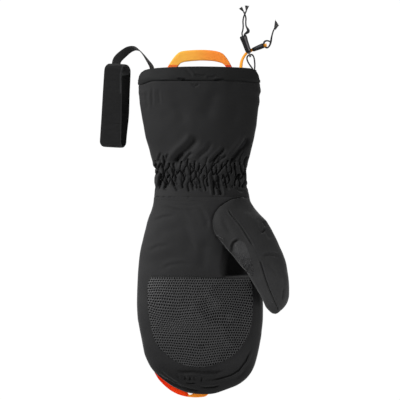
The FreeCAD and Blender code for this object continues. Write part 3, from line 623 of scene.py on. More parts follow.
end_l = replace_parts(blade("cord_end_left", (51.0, 307.7), (49.6, 313.6), (54.2, 312.9), 1.5, 1.3, MAT["cord_end"]), "tail_end_left")
end_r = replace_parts(blade("cord_end_right", (47.8, 307.0), (42.9, 309.9), (46.3, 312.2), 0.9, 0.8, MAT["cord_end"]), "tail_end_right")
end_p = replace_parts(blade("pull_end", (82.3, 287.4), (82.9, 297.8), (87.0, 291.6), 0.9, 0.8, MAT["cord_end"], root=2.6), "pull_tail_end")
for o in (end_l, end_r):
    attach(o, "cord_lock")
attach(end_p, "cuff")

loop_cord, P_, L_ = cord_piece("drawcord_bight", LOOP, 1.5, MAT["cord"])
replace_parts(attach(loop_cord, "cuff"), "drawcord_loop")
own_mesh(loop_cord)
LOOP_PATH = P_
tail_l, P_, L_ = cord_piece("lock_tail_left", TAIL_L, 1.4, MAT["cord"])
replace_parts(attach(tail_l, "cord_lock"), "tail_left")
tail_r, P_, L_ = cord_piece("lock_tail_right", TAIL_R, 1.4, MAT["cord"],
                            radii=lambda t: 0.78 + 0.95 * math.exp(-((t - 0.31) / 0.12) ** 2))
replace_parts(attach(tail_r, "cord_lock"), "tail_right")
tape, P_, L_ = tape_piece("anchor_tape_orange", TAPE, (3.5, 3.5, 3.4, 3.1, 2.9, 2.9, 2.9, 3.7, 2.6, 2.3, 2.3, 2.6, 3.9), 1.0, MAT["tape"],
                        ([0, 0.25, 0.45, 0.6, 1.0], [0.25, 0.6, 0.35, 0.1, 0.0]))
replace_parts(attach(tape, "cuff"), "anchor_tape")
pull, P_, L_ = cord_piece("pull_tail_cord", PULL, 1.4, MAT["cord"],
                          radii=lambda t: 0.80 + 0.30 * math.exp(-((t - 0.62) / 0.14) ** 2) + 0.25 * math.exp(-((t - 0.22) / 0.12) ** 2))
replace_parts(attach(pull, "cuff"), "pull_tail")

# ------------------------------------------------------------------ cord lock
AX, UX = np.array([-0.335, 0.942, 0.0]), np.array([0.942, 0.335, 0.0])


def bored(name, at, axis, prof, hole, mat, stripe=None, flat=1.0, n=40):
    """Moulded tube: prof is (distance along the axis, outer radius); hole is its bore radius. stripe = (angle, half width, height, material)."""
    axis = np.asarray(axis, float)
    axis = axis / np.linalg.norm(axis)
    side = np.array([axis[1], -axis[0], 0.0])
    up = np.cross(side, axis)
    up = up if up[2] > 0 else -up
    d = np.linspace(prof[0][0], prof[-1][0], 26)
    ro = np.interp(d, [q[0] for q in prof], [q[1] for q in prof])
    # rounded lips at both ends
    lip = 0.7
    ro = ro - 0.45 * np.clip(1 - (d - d[0]) / lip, 0, 1) ** 2 - 0.45 * np.clip(1 - (d[-1] - d) / lip, 0, 1) ** 2
    th = np.linspace(0, 2 * math.pi, n, endpoint=False)
    rings = []
    for k in range(len(d)):
        r = np.full(n, ro[k])
        if stripe:
            a = np.abs((th - stripe[0] + math.pi) % (2 * math.pi) - math.pi)
            r = r + stripe[2] * smoothstep(stripe[1] + 0.12, stripe[1] - 0.05, a) * smoothstep(0, 1.2, d[k] - d[0] - 0.8) * smoothstep(0, 1.2, d[-1] - 0.8 - d[k])
        rings.append(np.array(at)[None] + axis[None] * d[k] + side[None] * (r * np.cos(th))[:, None] + up[None] * (r * np.sin(th) * flat)[:, None])
    for k in range(len(d) - 1, -1, -4):
        rings.append(np.array(at)[None] + axis[None] * d[k] + side[None] * (hole * np.cos(th))[:, None] + up[None] * (hole * np.sin(th))[:, None])
    if (len(d) - 1) % 4:
        rings.append(np.array(at)[None] + axis[None] * d[0] + side[None] * (hole * np.cos(th))[:, None] + up[None] * (hole * np.sin(th))[:, None])
    G = np.stack(rings)
    nv, nu = G.shape[:2]
    faces = grid_faces(nv, nu, 0, True, False)
    for j in range(nu):
        j2 = (j + 1) % nu
        faces.append(((nv - 1) * nu + j, (nv - 1) * nu + j2, j2, j))
    o = link(name, G.reshape(-1, 3) * MM, faces, mat)
    if stripe:
        o.data.materials.append(stripe[3])
        mid = stripe[0]
        for p in o.data.polygons:
            c = np.array(p.center) / MM - np.array(at)
            a = math.atan2(float(c @ up) / flat, float(c @ side))
            t = float(c @ axis)
            rad = math.hypot(float(c @ up) / flat, float(c @ side))
            if abs((a - mid + math.pi) % (2 * math.pi) - math.pi) < stripe[1] and d[0] + 1.2 < t < d[-1] - 1.2 and rad > hole + 0.5:
                p.material_index = 1
    return o


barrel = bored("cord_lock_barrel", (54.70, 258.70, 7.5), AX, [(2.7, 2.75), (6.0, 3.25), (15.0, 3.55), (20.0, 4.05), (22.4, 3.75)], 2.05, MAT["lock"],
               stripe=(1.15, 0.24, 0.35, MAT["core"]))
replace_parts(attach(barrel, "cord_lock"), "lock_barrel")
# the sleeve's lighter stripe along its top is a painted highlight
sleeve = bored("cord_sleeve", (64.05, 266.85, 2.9), (0.93, 0.375, 0.0), [(-6.6, 2.15), (-3.0, 2.45), (2.0, 2.75), (6.4, 2.9)], 1.75, MAT["lock"],
               stripe=(1.9, 0.35, 0.2, MAT["lock_highlight"]))
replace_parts(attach(sleeve, "cuff"), "tape_sleeve")

# ------------------------------------------------------------------ section tables
HAND = [(102.30, 1.98, 52.25, 36.0, 0.8), (94.60, 1.65, 53.90, 38.3, 0.3), (81.40, 1.65, 57.75, 41.1, -0.6),
        (61.60, 1.10, 62.70, 42.6, -0.6), (35.20, 0.11, 66.99, 42.6, -0.6), (8.80, 0.00, 68.75, 42.6, -0.6),
        (-17.60, -0.11, 69.08, 41.6, -0.6), (-37.40, 0.55, 67.65, 39.5, -0.5), (-55.00, 0.99, 65.01, 36.0, 0.3),
        (-70.40, 1.10, 61.60, 31.0, 1.2), (-83.60, 1.82, 56.48, 25.0, 2.4), (-94.60, 2.58, 49.12, 18.5, 3.7),
        (-103.40, 4.00, 37.95, 12.5, 5.0), (-109.45, 3.20, 24.75, 8.6, 5.9), (-113.85, 3.85, 11.55, 5.6, 6.6)]
# outline of cuff and wrist, rows of the picture frame: y, left x, right x (px), section height, lift
ROWS = [(66.5, 147, 253, 36, 0), (74, 139.8, 257.6, 37.5, 0), (80, 138.0, 259.4, 38.5, 0), (84, 138.6, 259.2, 38.0, 0), (90, 138.6, 260.0, 37.8, 0),
        (96, 139.2, 258.6, 37.5, 0), (102, 139.6, 258.8, 37.3, 0), (108, 140.4, 257.6, 37.0, 0), (114, 141.4, 256.9, 36.6, 0),
        (120, 142.4, 256.2, 36.2, 0), (126, 143.6, 255.6, 35.8, 0), (132, 144.6, 254.4, 35.2, 0), (138, 145.8, 253.3, 34.6, 0.1),
        (144, 147.6, 251.9, 33.8, 0.3), (150, 149.4, 250.4, 32.8, 0.6), (156, 150.8, 249.0, 31.6, 0.9), (162, 152.6, 247.2, 30.6, 1.1),
        (168, 154.4, 245.4, 29.8, 1.2), (174, 155.2, 245.0, 29.6, 1.2), (180, 155.2, 245.6, 30.2, 1.2), (186, 155.2, 247.0, 31.6, 1.0),
        (192, 154.6, 248.4, 33.6, 1.0), (198, 154.0, 249.8, 35.8, 0.8)]
CR = [((290 - y) * 1.1, ((l + r) / 2 - 200) * 1.1, (r - l) * 0.55, h_, li) for y, l, r, h_, li in ROWS]


def hand_sec(Y):
    cx, W, H, li = table(HAND, Y)
    return cx, W, H, li + H / 2


def cuff_sec(Y):
    cx, W, H, li = table(CR, Y)
    full = 0.45 * smoothstep(108, 135, Y)
    return cx + full, W + full, H, li + H / 2


# ------------------------------------------------------------------ hand panels
L_PX = [(154.0, 197.0), (153.2, 204), (151.2, 211), (149.2, 216), (147.2, 222), (145.8, 228), (144.2, 234), (142.8, 240), (141.3, 246),
        (140.1, 252), (139.3, 258), (138.7, 264), (138.2, 270), (137.8, 276), (137.4, 285), (137.1, 294), (137.0, 306), (137.7, 318),
        (138.7, 324), (139.8, 330), (141, 336), (142.2, 342), (143.3, 348), (144.6, 354), (147.0, 360), (150.0, 366), (153.6, 371),
        (157.3, 374.8), (161.8, 378.6), (166, 382.0)]
R_PX = [(249.4, 197.0), (251.0, 204), (253.6, 212), (256.0, 222), (257.8, 234), (259.4, 246), (260.6, 258), (261.6, 270), (262.2, 282),
        (262.7, 294), (263.0, 306), (262.9, 318), (262.5, 324), (261.8, 330), (261.2, 336), (260.1, 342), (259.0, 348), (257.7, 354),
        (256.2, 360), (254.3, 366), (251.4, 372), (246.9, 378), (241.3, 382.8)]
B_PX = [(166, 382.0), (173.4, 386.9), (182.0, 390.8), (187.5, 392.7), (194, 393.8), (201.3, 394.3), (209, 394.3), (216.4, 393.1),
        (223.9, 390.5), (230.9, 387.9), (236.5, 385.6), (241.3, 382.8)]


def coons(nv, nu, vpow=1.0):
    th = np.linspace(0, math.pi, nu)
    u = (1 - np.cos(th)) / 2
    v = np.linspace(0, 1, nv)
    v = 1 - (1 - v) ** 1.25
    Lc, Rc = resample(px(L_PX), v), resample(px(R_PX), v)
    Tc = Lc[0][None] * (1 - u)[:, None] + Rc[0][None] * u[:, None]
    Bc = resample(px(B_PX), u)
    U, V = u[None, :, None], v[:, None, None]
    P = ((1 - V) * Tc[None] + V * Bc[None] + (1 - U) * Lc[:, None] + U * Rc[:, None]
         - ((1 - U) * (1 - V) * Lc[0] + U * (1 - V) * Rc[0] + (1 - U) * V * Lc[-1] + U * V * Rc[-1]))
    return P, np.sin(th)[None, :] * np.ones((nv, 1)), np.broadcast_to(v[:, None], (nv, nu))


def palm_dip(X, Y):
    a = 7.5 * np.exp(-(((X - 42) / 15) ** 2 + ((Y - 30) / 21) ** 2))
    b = 2.2 * np.exp(-(((X - 20) / 26) ** 2 + ((Y - 26) / 30) ** 2))
    # pocket of cloth pulled down under the thumb, with a steep side towards the palm
    edge = 23.2 + 1.6 * np.sin(Y / 7.0 + 1.0)
    c = 13.5 * smoothstep(edge, edge + 10.5, X) * smoothstep(59, 49, Y) * smoothstep(13.4, 17.6, Y) * smoothstep(66, 52, X)
    return a + b + c


PALM_FOLDS = [
    # seam round the fingertips, right part, and the roll of cloth under it
    ([(251.5, 347), (245.6, 360.6), (238.7, 370), (231, 374.8), (220.5, 377.9), (209, 379.5)], 2.3, 1.15, 0.7, 2.6, 0.22, 0),
    # roll along the lower left edge
    ([(157.0, 373.2), (163, 377.4), (173.0, 383.2), (182.2, 387.2), (192, 389.8), (201.3, 391.4)], 3.2, 1.5, 1.0, -2.8, 0.12, 0),
    ([(159.5, 370.0), (166, 375.4), (173.0, 380.4), (180.0, 384.0)], 1.4, 1.2, 0.4, 2.2, 0.2, 0),
    # creases below the grip patch
    ([(173, 370.6), (184, 371.8), (194, 371.2), (205, 372.0), (217, 372.0), (226, 369.9)], 3.0, 2.3, 0.9, -3.8, 0.2, 0),
    ([(184, 382.4), (190, 383.2), (197, 382.8)], 2.6, 1.2, 0.4, 1.8, 0.3, 0),
    ([(198, 386.4), (206, 387.4), (214, 386.8), (221, 384.8)], 2.7, 1.3, 0.5, 1.8, 0.25, 0),
    ([(204, 379.8), (213, 379.9), (222, 378.6)], 1.0, 1.1, 0.2, -1.8, 0.25, 0),
    ([(184.4, 374.8), (185.2, 377.8), (184.6, 380.6)], 2.0, 1.1, 1.0, 1.9, 0.3, 0),
    ([(189.4, 375.6), (189.9, 378), (189.2, 380.6)], 1.8, 1.1, 1.0, 1.9, 0.3, 0),
    ([(194.2, 374.6), (193.8, 377.6), (194.4, 380.2)], 1.0, 0.9, 0.5, 1.7, 0.3, 0),
    ([(201.0, 375.4), (201.8, 378.6), (201.0, 382.6)], 2.0, 1.2, 1.0, 1.9, 0.3, 0),
    ([(176.6, 372.6), (178.4, 376.0), (178.0, 379.6)], 1.0, 1.2, 0.4, 1.8, 0.3, 0),
    ([(233, 380.4), (240, 375.6), (247, 367.6)], 0.6, 1.6, 0, 0, 0.3, 0),
    # faint lines under the wrist seam
    ([(160, 203.0), (176, 204.3), (190, 205.2), (204, 204.2)], 0.35, 1.0, 0.15, 1.4, 0.3, 0),
    ([(172, 208.6), (186, 209.8), (199, 209.6)], 0.35, 1.0, 0.15, 1.4, 0.3, 0),
    # seam where the thumb is set in
    ([(247.0, 198.4), (240.5, 197.9), (232.8, 199.6), (225.6, 203.0), (219.4, 207.6)], 1.35, 0.75, 0.25, 1.8, 0.16, 0),
    ([(225.0, 203.6), (219.4, 207.4), (214.8, 213.2), (212.4, 220.5), (212.7, 227.2), (214.8, 233.8), (218.6, 239.4)], 0.75, 1.1, 0.15, 2.0, 0.12, 0),
    ([(247.4, 199.2), (250.0, 201.4), (252.4, 204.0)], 2.0, 1.1, 0, 0, 0.2, 0),
    # long soft folds in the palm
    ([(150, 240), (163, 232), (178, 228), (194, 229)], 0.7, 6.0, 0, 0, 0.35, 0),
    ([(142, 268), (156, 260), (172, 257), (190, 259)], 0.6, 6.0, 0, 0, 0.35, 0),
    ([(178, 214), (186, 226), (190, 240), (190, 256)], 0.6, 5.0, 0, 0, 0.35, 0),
    ([(208, 238), (204, 250), (203, 262), (206, 272)], 1.2, 5.5, 0, 0, 0.3, 0),
    ([(157, 206), (170, 208.2), (183, 213.0), (192, 220.6)], 0.55, 2.6, 0.3, 3.6, 0.3, 0),
    ([(152, 222), (163, 217), (176, 215.6)], 0.5, 2.2, 0.3, 3.0, 0.3, 0),
    ([(196, 206), (203, 212), (207, 221), (207, 231)], 0.7, 2.8, 0.3, 3.6, 0.3, 0),
    ([(147, 252), (158, 246), (170, 245)], 0.45, 2.4, 0.2, 3.0, 0.3, 0),
    ([(160, 270), (170, 264.6), (182, 262.8), (194, 265.4)], 0.55, 2.4, 0.3, 3.0, 0.3, 0),
    ([(186, 236), (193, 243), (196, 252)], 0.5, 2.2, 0.2, 2.8, 0.3, 0),
    # small pucker where the thumb seam ends
    ([(215.5, 236.0), (219.5, 238.4), (223, 241.2)], 1.3, 1.2, 0, 0, 0.3, 0),
]


def seam_dash(X):
    """How hard the wrist seam pulls in along its length; the cloth hides it in places."""
    return 0.16 + 0.84 * np.maximum(smoothstep(-25.5, -28.0, X), np.exp(-((X + 13.2) / 4.0) ** 4)) * (0.55 + 0.45 * np.sin(X / 1.1))


def palm_top(X, Y, sn, v):
    cx, W, H, zs = hand_sec(Y)
    tip = np.sqrt(np.clip(1 - ((v - 0.93) / 0.07).clip(0, 1) ** 2, 0, 1))
    edge = sn ** (0.92 + 0.03 * smoothstep(96.0, 102.3, Y))
    z = zs + 0.5 * H * edge * tip
    sm = smoothstep(0.0, 0.35, sn)
    dz = -palm_dip(X, Y)
    for pts, dep, wid, rid, off, tap, side in PALM_FOLDS:
        dz = dz + crease(X, Y, pts, dep, wid, rid, off, tap, side)
    dz = dz + ((vnoise(X / 34 + 3, Y / 40 + 9, 1) - 0.5) * 2.0 + (vnoise(X / 13, Y / 15, 2) - 0.5) * 0.55) * smoothstep(102.3, 92.0, Y)
    # the top row is held down by the wrist seam
    dz = dz - 0.75 * seam_dash(X) * np.exp(-((102.3 - Y) / 0.9) ** 2)
    return z + dz * sm * smoothstep(-0.02, 0.04, 1 - v)


def back_low(X, Y, sn, v):
    cx, W, H, zs = hand_sec(Y)
    tip = np.sqrt(np.clip(1 - ((v - 0.93) / 0.07).clip(0, 1) ** 2, 0, 1))
    z = zs - 0.5 * H * sn ** 0.92 * tip
    dz = (vnoise(X / 30 + 21, Y / 36 + 4, 3) - 0.5) * 1.4 + 0.5 * np.exp(-((102.3 - Y) / 1.3) ** 2)
    # knuckle seam across the back
    dz = dz + 0.8 * np.exp(-((Y - 12 - 5 * np.cos(X / 45)) / 1.0) ** 2) * smoothstep(0.1, 0.5, sn)
    dz = dz + (vnoise(X / 12 + 11, Y / 12 + 4, 5) - 0.5) * 0.5
    return np.maximum(z + dz * smoothstep(0.0, 0.35, sn), 0.0)


NV, NU = 240, 150
XY, SN, VV = coons(NV, NU)
top = palm_top(XY[..., 0], XY[..., 1], SN, VV)
low = back_low(XY[..., 0], XY[..., 1], SN, VV)
PALM = np.concatenate([XY, top[..., None]], -1)
BACK = np.concatenate([XY, low[..., None]], -1)
palm = shell("palm_panel", PALM, 0.9, MAT["shell"], -1)
back = shell("back_panel", BACK, 0.9, MAT["shell"], 1)


def bvh_of(*grids):
    verts, faces = [], []
    for G in grids:
        o = len(verts)
        verts += [tuple(p) for p in G.reshape(-1, 3)]
        faces += grid_faces(G.shape[0], G.shape[1], o)
    return BVHTree.FromPolygons(verts, faces)


PALM_TREE = bvh_of(PALM)


def drop(tree, x, y, z0=200.0):
    h = tree.ray_cast(Vector((x, y, z0)), Vector((0, 0, -1)))
    return h[0], h[1]


# ------------------------------------------------------------------ cuff with gathered wrist
EL_ROWS = [(290 - q) * 1.1 for q in (165.5, 174.5, 183.5)]
CUFF_FOLDS = [
    ([(172, 166), (176.5, 160), (181.5, 154), (187.5, 149), (193, 143), (197, 135)], 4.3, 4.7, 1.8, 6.8, 0.2, 0),
    ([(174, 163), (179, 157.5), (185, 154.5)], 2.0, 2.6, 0.6, -4.0, 0.3, 0),
    ([(183, 163), (187.5, 157.5), (193, 152)], 2.0, 1.9, 0.8, 3.2, 0.25, 0),
    ([(230, 164), (234, 157), (240, 150), (245, 143.5), (249, 136)], 4.4, 3.8, 1.5, 5.2, 0.2, 0),
    ([(211, 164), (215, 158), (221, 152.5), (225.5, 147)], 2.8, 2.1, 0.9, 3.4, 0.22, 0),
    ([(217, 164.5), (221.5, 159), (227, 155)], 1.8, 1.5, 0.7, 2.4, 0.25, 0),
    ([(238, 163), (241.5, 156), (245.4, 150.5)], 2.2, 1.6, 0.8, 2.6, 0.22, 0),
    ([(196, 162), (200, 156), (207, 150), (212, 141)], 1.8, 2.8, 0.6, 3.6, 0.25, 0),
    ([(157.5, 164), (159.5, 157.5), (161.5, 152)], 1.5, 1.5, 0.4, 2.2, 0.25, 0),
    ([(164.5, 165), (166.5, 158.5), (169, 153)], 1.6, 1.5, 0.4, 2.2, 0.25, 0),
    ([(204, 122), (210, 108), (213, 96), (213, 87)], 1.6, 7.5, 0, 0, 0.3, 0),
    ([(146.0, 90), (146.4, 101), (148.0, 112)], 0.6, 1.8, 0.4, 3.0, 0.3, 0),
    ([(152.0, 86), (152.2, 96), (152.8, 108)], 0.5, 1.4, 0.3, 2.4, 0.3, 0),
    ([(158.4, 88), (159.0, 96), (160.2, 106)], 0.45, 1.6, 0.2, 2.4, 0.3, 0),
    ([(186, 125), (180, 112), (176, 100)], 0.7, 6.0, 0, 0, 0.35, 0),
    ([(230, 128), (236, 112), (238, 98)], 0.9, 6.0, 0, 0, 0.35, 0),
    ([(190.6, 83.6), (195, 87.0), (199.6, 84.0)], 0.9, 1.2, 0.2, 1.8, 0.25, 0),
    ([(157.2, 190.5), (159.2, 185), (161.8, 178.5)], 2.6, 1.4, 0.6, 2.0, 0.22, 0),
    ([(163.6, 190.5), (166.2, 185.4), (169, 180)], 2.0, 1.4, 0.4, 2.0, 0.22, 0),
    ([(173.4, 181), (175.6, 186.5), (178.6, 191.5)], 2.4, 1.4, 0.5, 2.0, 0.22, 0),
    ([(189.6, 177), (192, 182.5), (194.6, 187)], 2.6, 1.6, 0.5, -2.2, 0.22, 0),
    ([(196, 181), (199.5, 186.5), (204.5, 191.5)], 2.0, 1.6, 0.4, 2.4, 0.22, 0),
    ([(210.8, 172), (212.2, 182), (214.8, 196.4)], 3.0, 1.6, 1.0, -2.8, 0.16, 0),
    ([(217.6, 174), (219.2, 184), (221.4, 196.4)], 4.4, 1.9, 1.2, 3.2, 0.14, 0),
    ([(224.4, 180), (226.2, 186), (229.4, 191)], 1.2, 1.4, 0.4, 2.0, 0.25, 0),
    ([(235.0, 186.6), (239.6, 190.4), (245, 191.6)], 1.7, 1.2, 0.5, 2.0, 0.25, 0),
]


def gather(X, Y, seed=0.0):
    """Height of the shirred cloth: short grooves run between staggered nodes on the elastic rows and close into diamonds."""
    rng = np.random.default_rng(404 + int(seed))
    rows_px = [164.2, 169.2, 174.4, 179.6, 184.6]
    nodes = []
    for k, yp in enumerate(rows_px):
        x0, x1 = 154.0 + (0 if k % 2 else 2.6), 248.0
        n = int((x1 - x0) / 4.3)
        xs = np.linspace(x0, x1, n + 1) + rng.uniform(-1.4, 1.4, n + 1)
        nodes.append([(float(x), yp + float(rng.uniform(-1.5, 1.5))) for x in xs])
    segs = []
    for k in range(len(rows_px) - 1):
        low_ = np.array([q[0] for q in nodes[k + 1]])
        for (x, y) in nodes[k]:
            order = np.argsort(np.abs(low_ - x))[:2]
            for w, o in enumerate(order):
                if rng.random() > (0.86 if w == 0 else 0.50):
                    continue
                x2, y2 = nodes[k + 1][int(o)]
                xm, ym = (x + x2) / 2 + rng.uniform(-0.7, 0.7), (y + y2) / 2
                segs.append(([(x, y - 0.6), (xm, ym), (x2, y2 + 0.6)], rng.uniform(1.5, 4.5), rng.uniform(0.62, 1.15), 0.12))
    for (x, y) in nodes[0]:
        L = 2.0 + 7.5 * rng.random() ** 1.6
        ln = 0.60 if x > 208 else (-0.15 if x < 180 else 0.25)
        segs.append(([(x, y + 0.8), (x + ln * L * 0.45, y - L * 0.5), (x + ln * L, y - L)], rng.uniform(1.4, 3.2), rng.uniform(0.9, 1.4), 0.22))
    for (x, y) in nodes[-1]:
        L = 2.0 + 6.5 * rng.random() ** 1.4
        ln = -0.55 if x < 172 else 0.32
        segs.append(([(x, y - 0.8), (x + ln * L * 0.5, y + L * 0.5), (x + ln * L, y + L)], rng.uniform(1.3, 3.0), rng.uniform(0.9, 1.4), 0.22))
    g = np.zeros_like(X)
    for pts, dep, wid, tap in segs:
        g = np.minimum(g, crease(X, Y, pts, dep, wid, 0, 0, tap, 0))
    e1, e2, e3 = EL_ROWS
    env = smoothstep(e1 + 6.0, e1 - 1.0, Y) * smoothstep(e3 - 5.0, e3 + 1.0, Y)
    puff = 0.55 + 0.9 * vnoise(X / 4.2 + seed, Y / 4.6 + 3, 7)
    return g * 1.05 + env * 1.15 * puff


def stitch_drop(cs):
    return np.where(cs < 0, 4.3 * smoothstep(0.74, 0.99, -cs), 1.7 * smoothstep(0.60, 1.0, cs))


def cuff_face(side, nv_g=110, nv_c=96, nu=260):
    """Front (side +1) or back (-1) of cuff and wrist from the wrist seam up to the hem stitching."""
    ya = np.linspace(102.3, 150.0, nv_g)
    yb = np.linspace(150.0, 229.2, nv_c)[1:]
    yv = np.concatenate([ya, yb])
    th = np.linspace(0, math.pi, nu)
    # more columns in the middle than a plain cosine would give, so the ridges stay crisp
    th = th + 0.16 * np.sin(2 * th)
    cs, sn = -np.cos(th), np.sin(th)
    cx, W, H, zs = cuff_sec(yv)
    X = cx[:, None] + W[:, None] * cs[None]
    Y = np.repeat(yv[:, None], nu, 1)
    # the hem stitching drops away at the corners, more at the left
    dropc = stitch_drop(cs)[None]
    Y = Y - dropc * smoothstep(205, 229.2, Y)
    S = np.broadcast_to(sn[None], X.shape)
    base = zs[:, None] + side * 0.5 * H[:, None] * S ** 0.95
    P = np.stack([X, Y, base], -1)
    n = normals(P)
    if np.mean(n[..., 2]) * side < 0:
        n = -n
    g = gather(X, Y, 0.0 if side > 0 else 17.0)
    d = g * smoothstep(0.0, 0.12, S) + 0.45 * g * (1 - smoothstep(0.0, 0.12, S))
    if side > 0:
        for pts, dep, wid, rid, off, tap, sd in CUFF_FOLDS:
            d = d + crease(X, Y, pts, dep, wid, rid, off, tap, sd) * smoothstep(0.02, 0.3, S)
    else:
        for k in range(9):
            x0 = 157 + 10.5 * k
            q = [(x0, 164), (x0 + 3 * math.sin(k), 155), (x0 + 5 * math.cos(k * 2.0), 143 - 4 * (k % 3))]
            d = d + crease(X, Y, q, 1.1, 2.2, 0, 0, 0.25, 0) * smoothstep(0.02, 0.3, S)
    d = d + (vnoise(X / 26 + 5, Y / 34 + side, 2) - 0.5) * 1.5 * smoothstep(0.05, 0.5, S) * smoothstep(104, 118, Y)
    d = d + (vnoise(X / 9 + 5, Y / 12 + side, 1) - 0.5) * 0.45 * smoothstep(0.05, 0.5, S) * smoothstep(103.0, 110.0, Y)
    d = d - 0.75 * seam_dash(X) * np.exp(-((Y - 102.3) / 0.9) ** 2) - 0.6 * np.exp(-((Y + dropc - 229.2) / 1.0) ** 2)
    P = P + n * d[..., None]
    if side < 0:
        P[..., 2] = np.maximum(P[..., 2], 0.05)
    return P, n


CF, _ = cuff_face(1)
CB, _ = cuff_face(-1)
cuff_f = shell("cuff_front_panel", CF, 0.8, MAT["cuff"], 1)
cuff_b = shell("cuff_back_panel", CB, 0.8, MAT["cuff"], -1)
CUFF_TREE = bvh_of(CF)

# ------------------------------------------------------------------ hem
def hem_ring(nv=34, nu=420):
    """Folded hem: outer face up from the stitching, over the rim and down inside."""
    th = np.linspace(0, 2 * math.pi, nu, endpoint=False)
    cs, sn = np.cos(th), np.sin(th)
    topx = [(138.5, 79.0), (139.3, 75.4), (141.2, 72.4), (144.6, 70.2), (149.6, 69.0), (158, 68.2), (170, 67.5), (185, 67.0), (200, 66.8),
            (216, 67.0), (232, 67.5), (244, 68.0), (250.4, 68.5), (254.0, 69.5), (256.6, 71.6), (258.4, 74.6), (259.3, 79.0)]
    tp = px(topx)
    cx, W, H, zs = [float(a[0]) for a in cuff_sec(np.array([231.0]))]
    x0 = cx + W * cs
    ytop = np.interp(x0, tp[:, 0], tp[:, 1])
    ytop = ytop * (1 - smoothstep(0.985, 1.0, np.abs(cs))) + (ytop - 1.0) * smoothstep(0.985, 1.0, np.abs(cs))
    yst = 229.4 - stitch_drop(cs)
    rows = []
    # stitching to rim (outer), rim, and inner face
    for k in range(nv):
        t = k / (nv - 1)
        if t < 0.60:
            a = t / 0.60
            y = yst + (ytop - 1.2 - yst) * a
            out = -0.9 + (1.05 - 0.35 * np.abs(cs) ** 6) * np.minimum(1, a / 0.10) ** 0.6 + (0.55 - 0.2 * np.abs(cs) ** 6) * math.sin(math.pi * a)
            if a > 0.9:
                out = out - 0.5 * ((a - 0.9) / 0.1) ** 2
        elif t < 0.72:
            a = (t - 0.60) / 0.12
            ang = a * math.pi
            y = ytop - 1.2 + 1.2 * math.sin(ang) * np.ones(nu)
            out = 0.25 - 1.55 * (1 - math.cos(ang)) / 2 * 2 * 0.62
            out = out * np.ones(nu)
        else:
            a = (t - 0.72) / 0.28
            y = ytop - 1.2 - (ytop - 1.2 - yst) * a * 0.96
            out = (-1.67 - 0.55 * a) * np.ones(nu)
        yq = np.clip(y, 224, 247)
        cxr, Wr, Hr, zr = cuff_sec(yq)
        # the mouth is one soft oval; narrowing towards the rim only at its corners
        Wm = W - 0.0 * Wr
        wob = (vnoise(x0 / 15 + 4, t * 2.0 + (sn > 0) * 5, 3) - 0.5) * 0.9 * np.abs(sn)
        puck = np.where(sn > 0, 1.0, 0.6) * (-0.55) * np.exp(-(a if t < 0.6 else 1.0) * 9.0) * (0.4 + vnoise(x0 / 5.5 + 1, 2.2, 6))
        d = out + wob + puck
        z = zr + (0.5 * Hr) * np.sign(sn) * np.abs(sn) ** 0.95
        nx, nz = cs / W, np.sign(sn) * np.abs(sn) / (0.5 * H)
        ln = np.hypot(nx, nz) + 1e-9
        nx, nz = nx / ln, nz / ln
        X = cxr * 0 + cx + W * cs + nx * d
        Z = z + nz * d
        Z = np.maximum(Z, 0.05)
        rows.append(np.stack([X, y * np.ones(nu), Z], -1))
    return np.array(rows)


HEM = hem_ring()


def hem_folds(P):
    X, Y = P[..., 0], P[..., 1]
    top_side = P[..., 2] > 18
    d = np.zeros(X.shape)
    for q, dep, wd in (([(177, 79.2), (182, 79.6), (186.5, 80.2)], 2.6, 0.9), ([(180, 81.0), (186, 81.4), (192, 81.5)], 2.2, 0.8),
                       ([(213, 81.4), (217.5, 80.4), (224.5, 80.0)], 2.8, 0.9), ([(160, 81.5), (165, 81.3), (171, 81.5)], 0.8, 0.8),
                       ([(194, 75), (200, 76.2), (206, 76.6)], 0.9, 1.3), ([(206, 77.4), (211, 77.8), (216, 77)], 0.9, 1.3),
                       ([(186, 70), (190, 73), (193, 77.5)], 0.6, 1.8)):
        d += crease(X, Y, q, dep, wd, 0.5, 1.9, 0.2, 0)
    P = P.copy()
    P[..., 2] += d * top_side
    return P


HEM = hem_folds(HEM)
hv, hu = HEM.shape[:2]
hem = link("hem_band", HEM.reshape(-1, 3) * MM, grid_faces(hv, hu, 0, True, False), MAT["hem"])

# ------------------------------------------------------------------ thumb
T_L = [(241.5, 197.6), (232.0, 199.8), (224.7, 203.7), (219.0, 207.8), (214.9, 213.6), (212.9, 220.5), (213.2, 227.0), (215.2, 233.3),
       (219.0, 239.0), (222.6, 243.6), (225.9, 247.9), (231.2, 253.6), (236.0, 259.6), (241.0, 265.6), (246.7, 272.0), (250.8, 279.3),
       (255.5, 286.6), (259.6, 293.6), (262.6, 300.0), (265.4, 306.4), (268.8, 310.4)]
T_R = [(249.3, 198.2), (251.2, 203.0), (254.9, 208.9), (258.6, 213.2), (262.2, 217.0), (266.3, 221.6), (270.0, 227.2), (273.3, 233.4),
       (276.2, 239.0), (278.6, 244.7), (281.2, 250.7), (283.8, 257.1), (285.7, 263.4), (286.9, 269.7), (287.9, 276.4), (288.6, 283.0),
       (288.8, 290.0), (288.5, 296.6), (286.8, 302.4), (283.6, 307.2), (279.9, 310.6)]
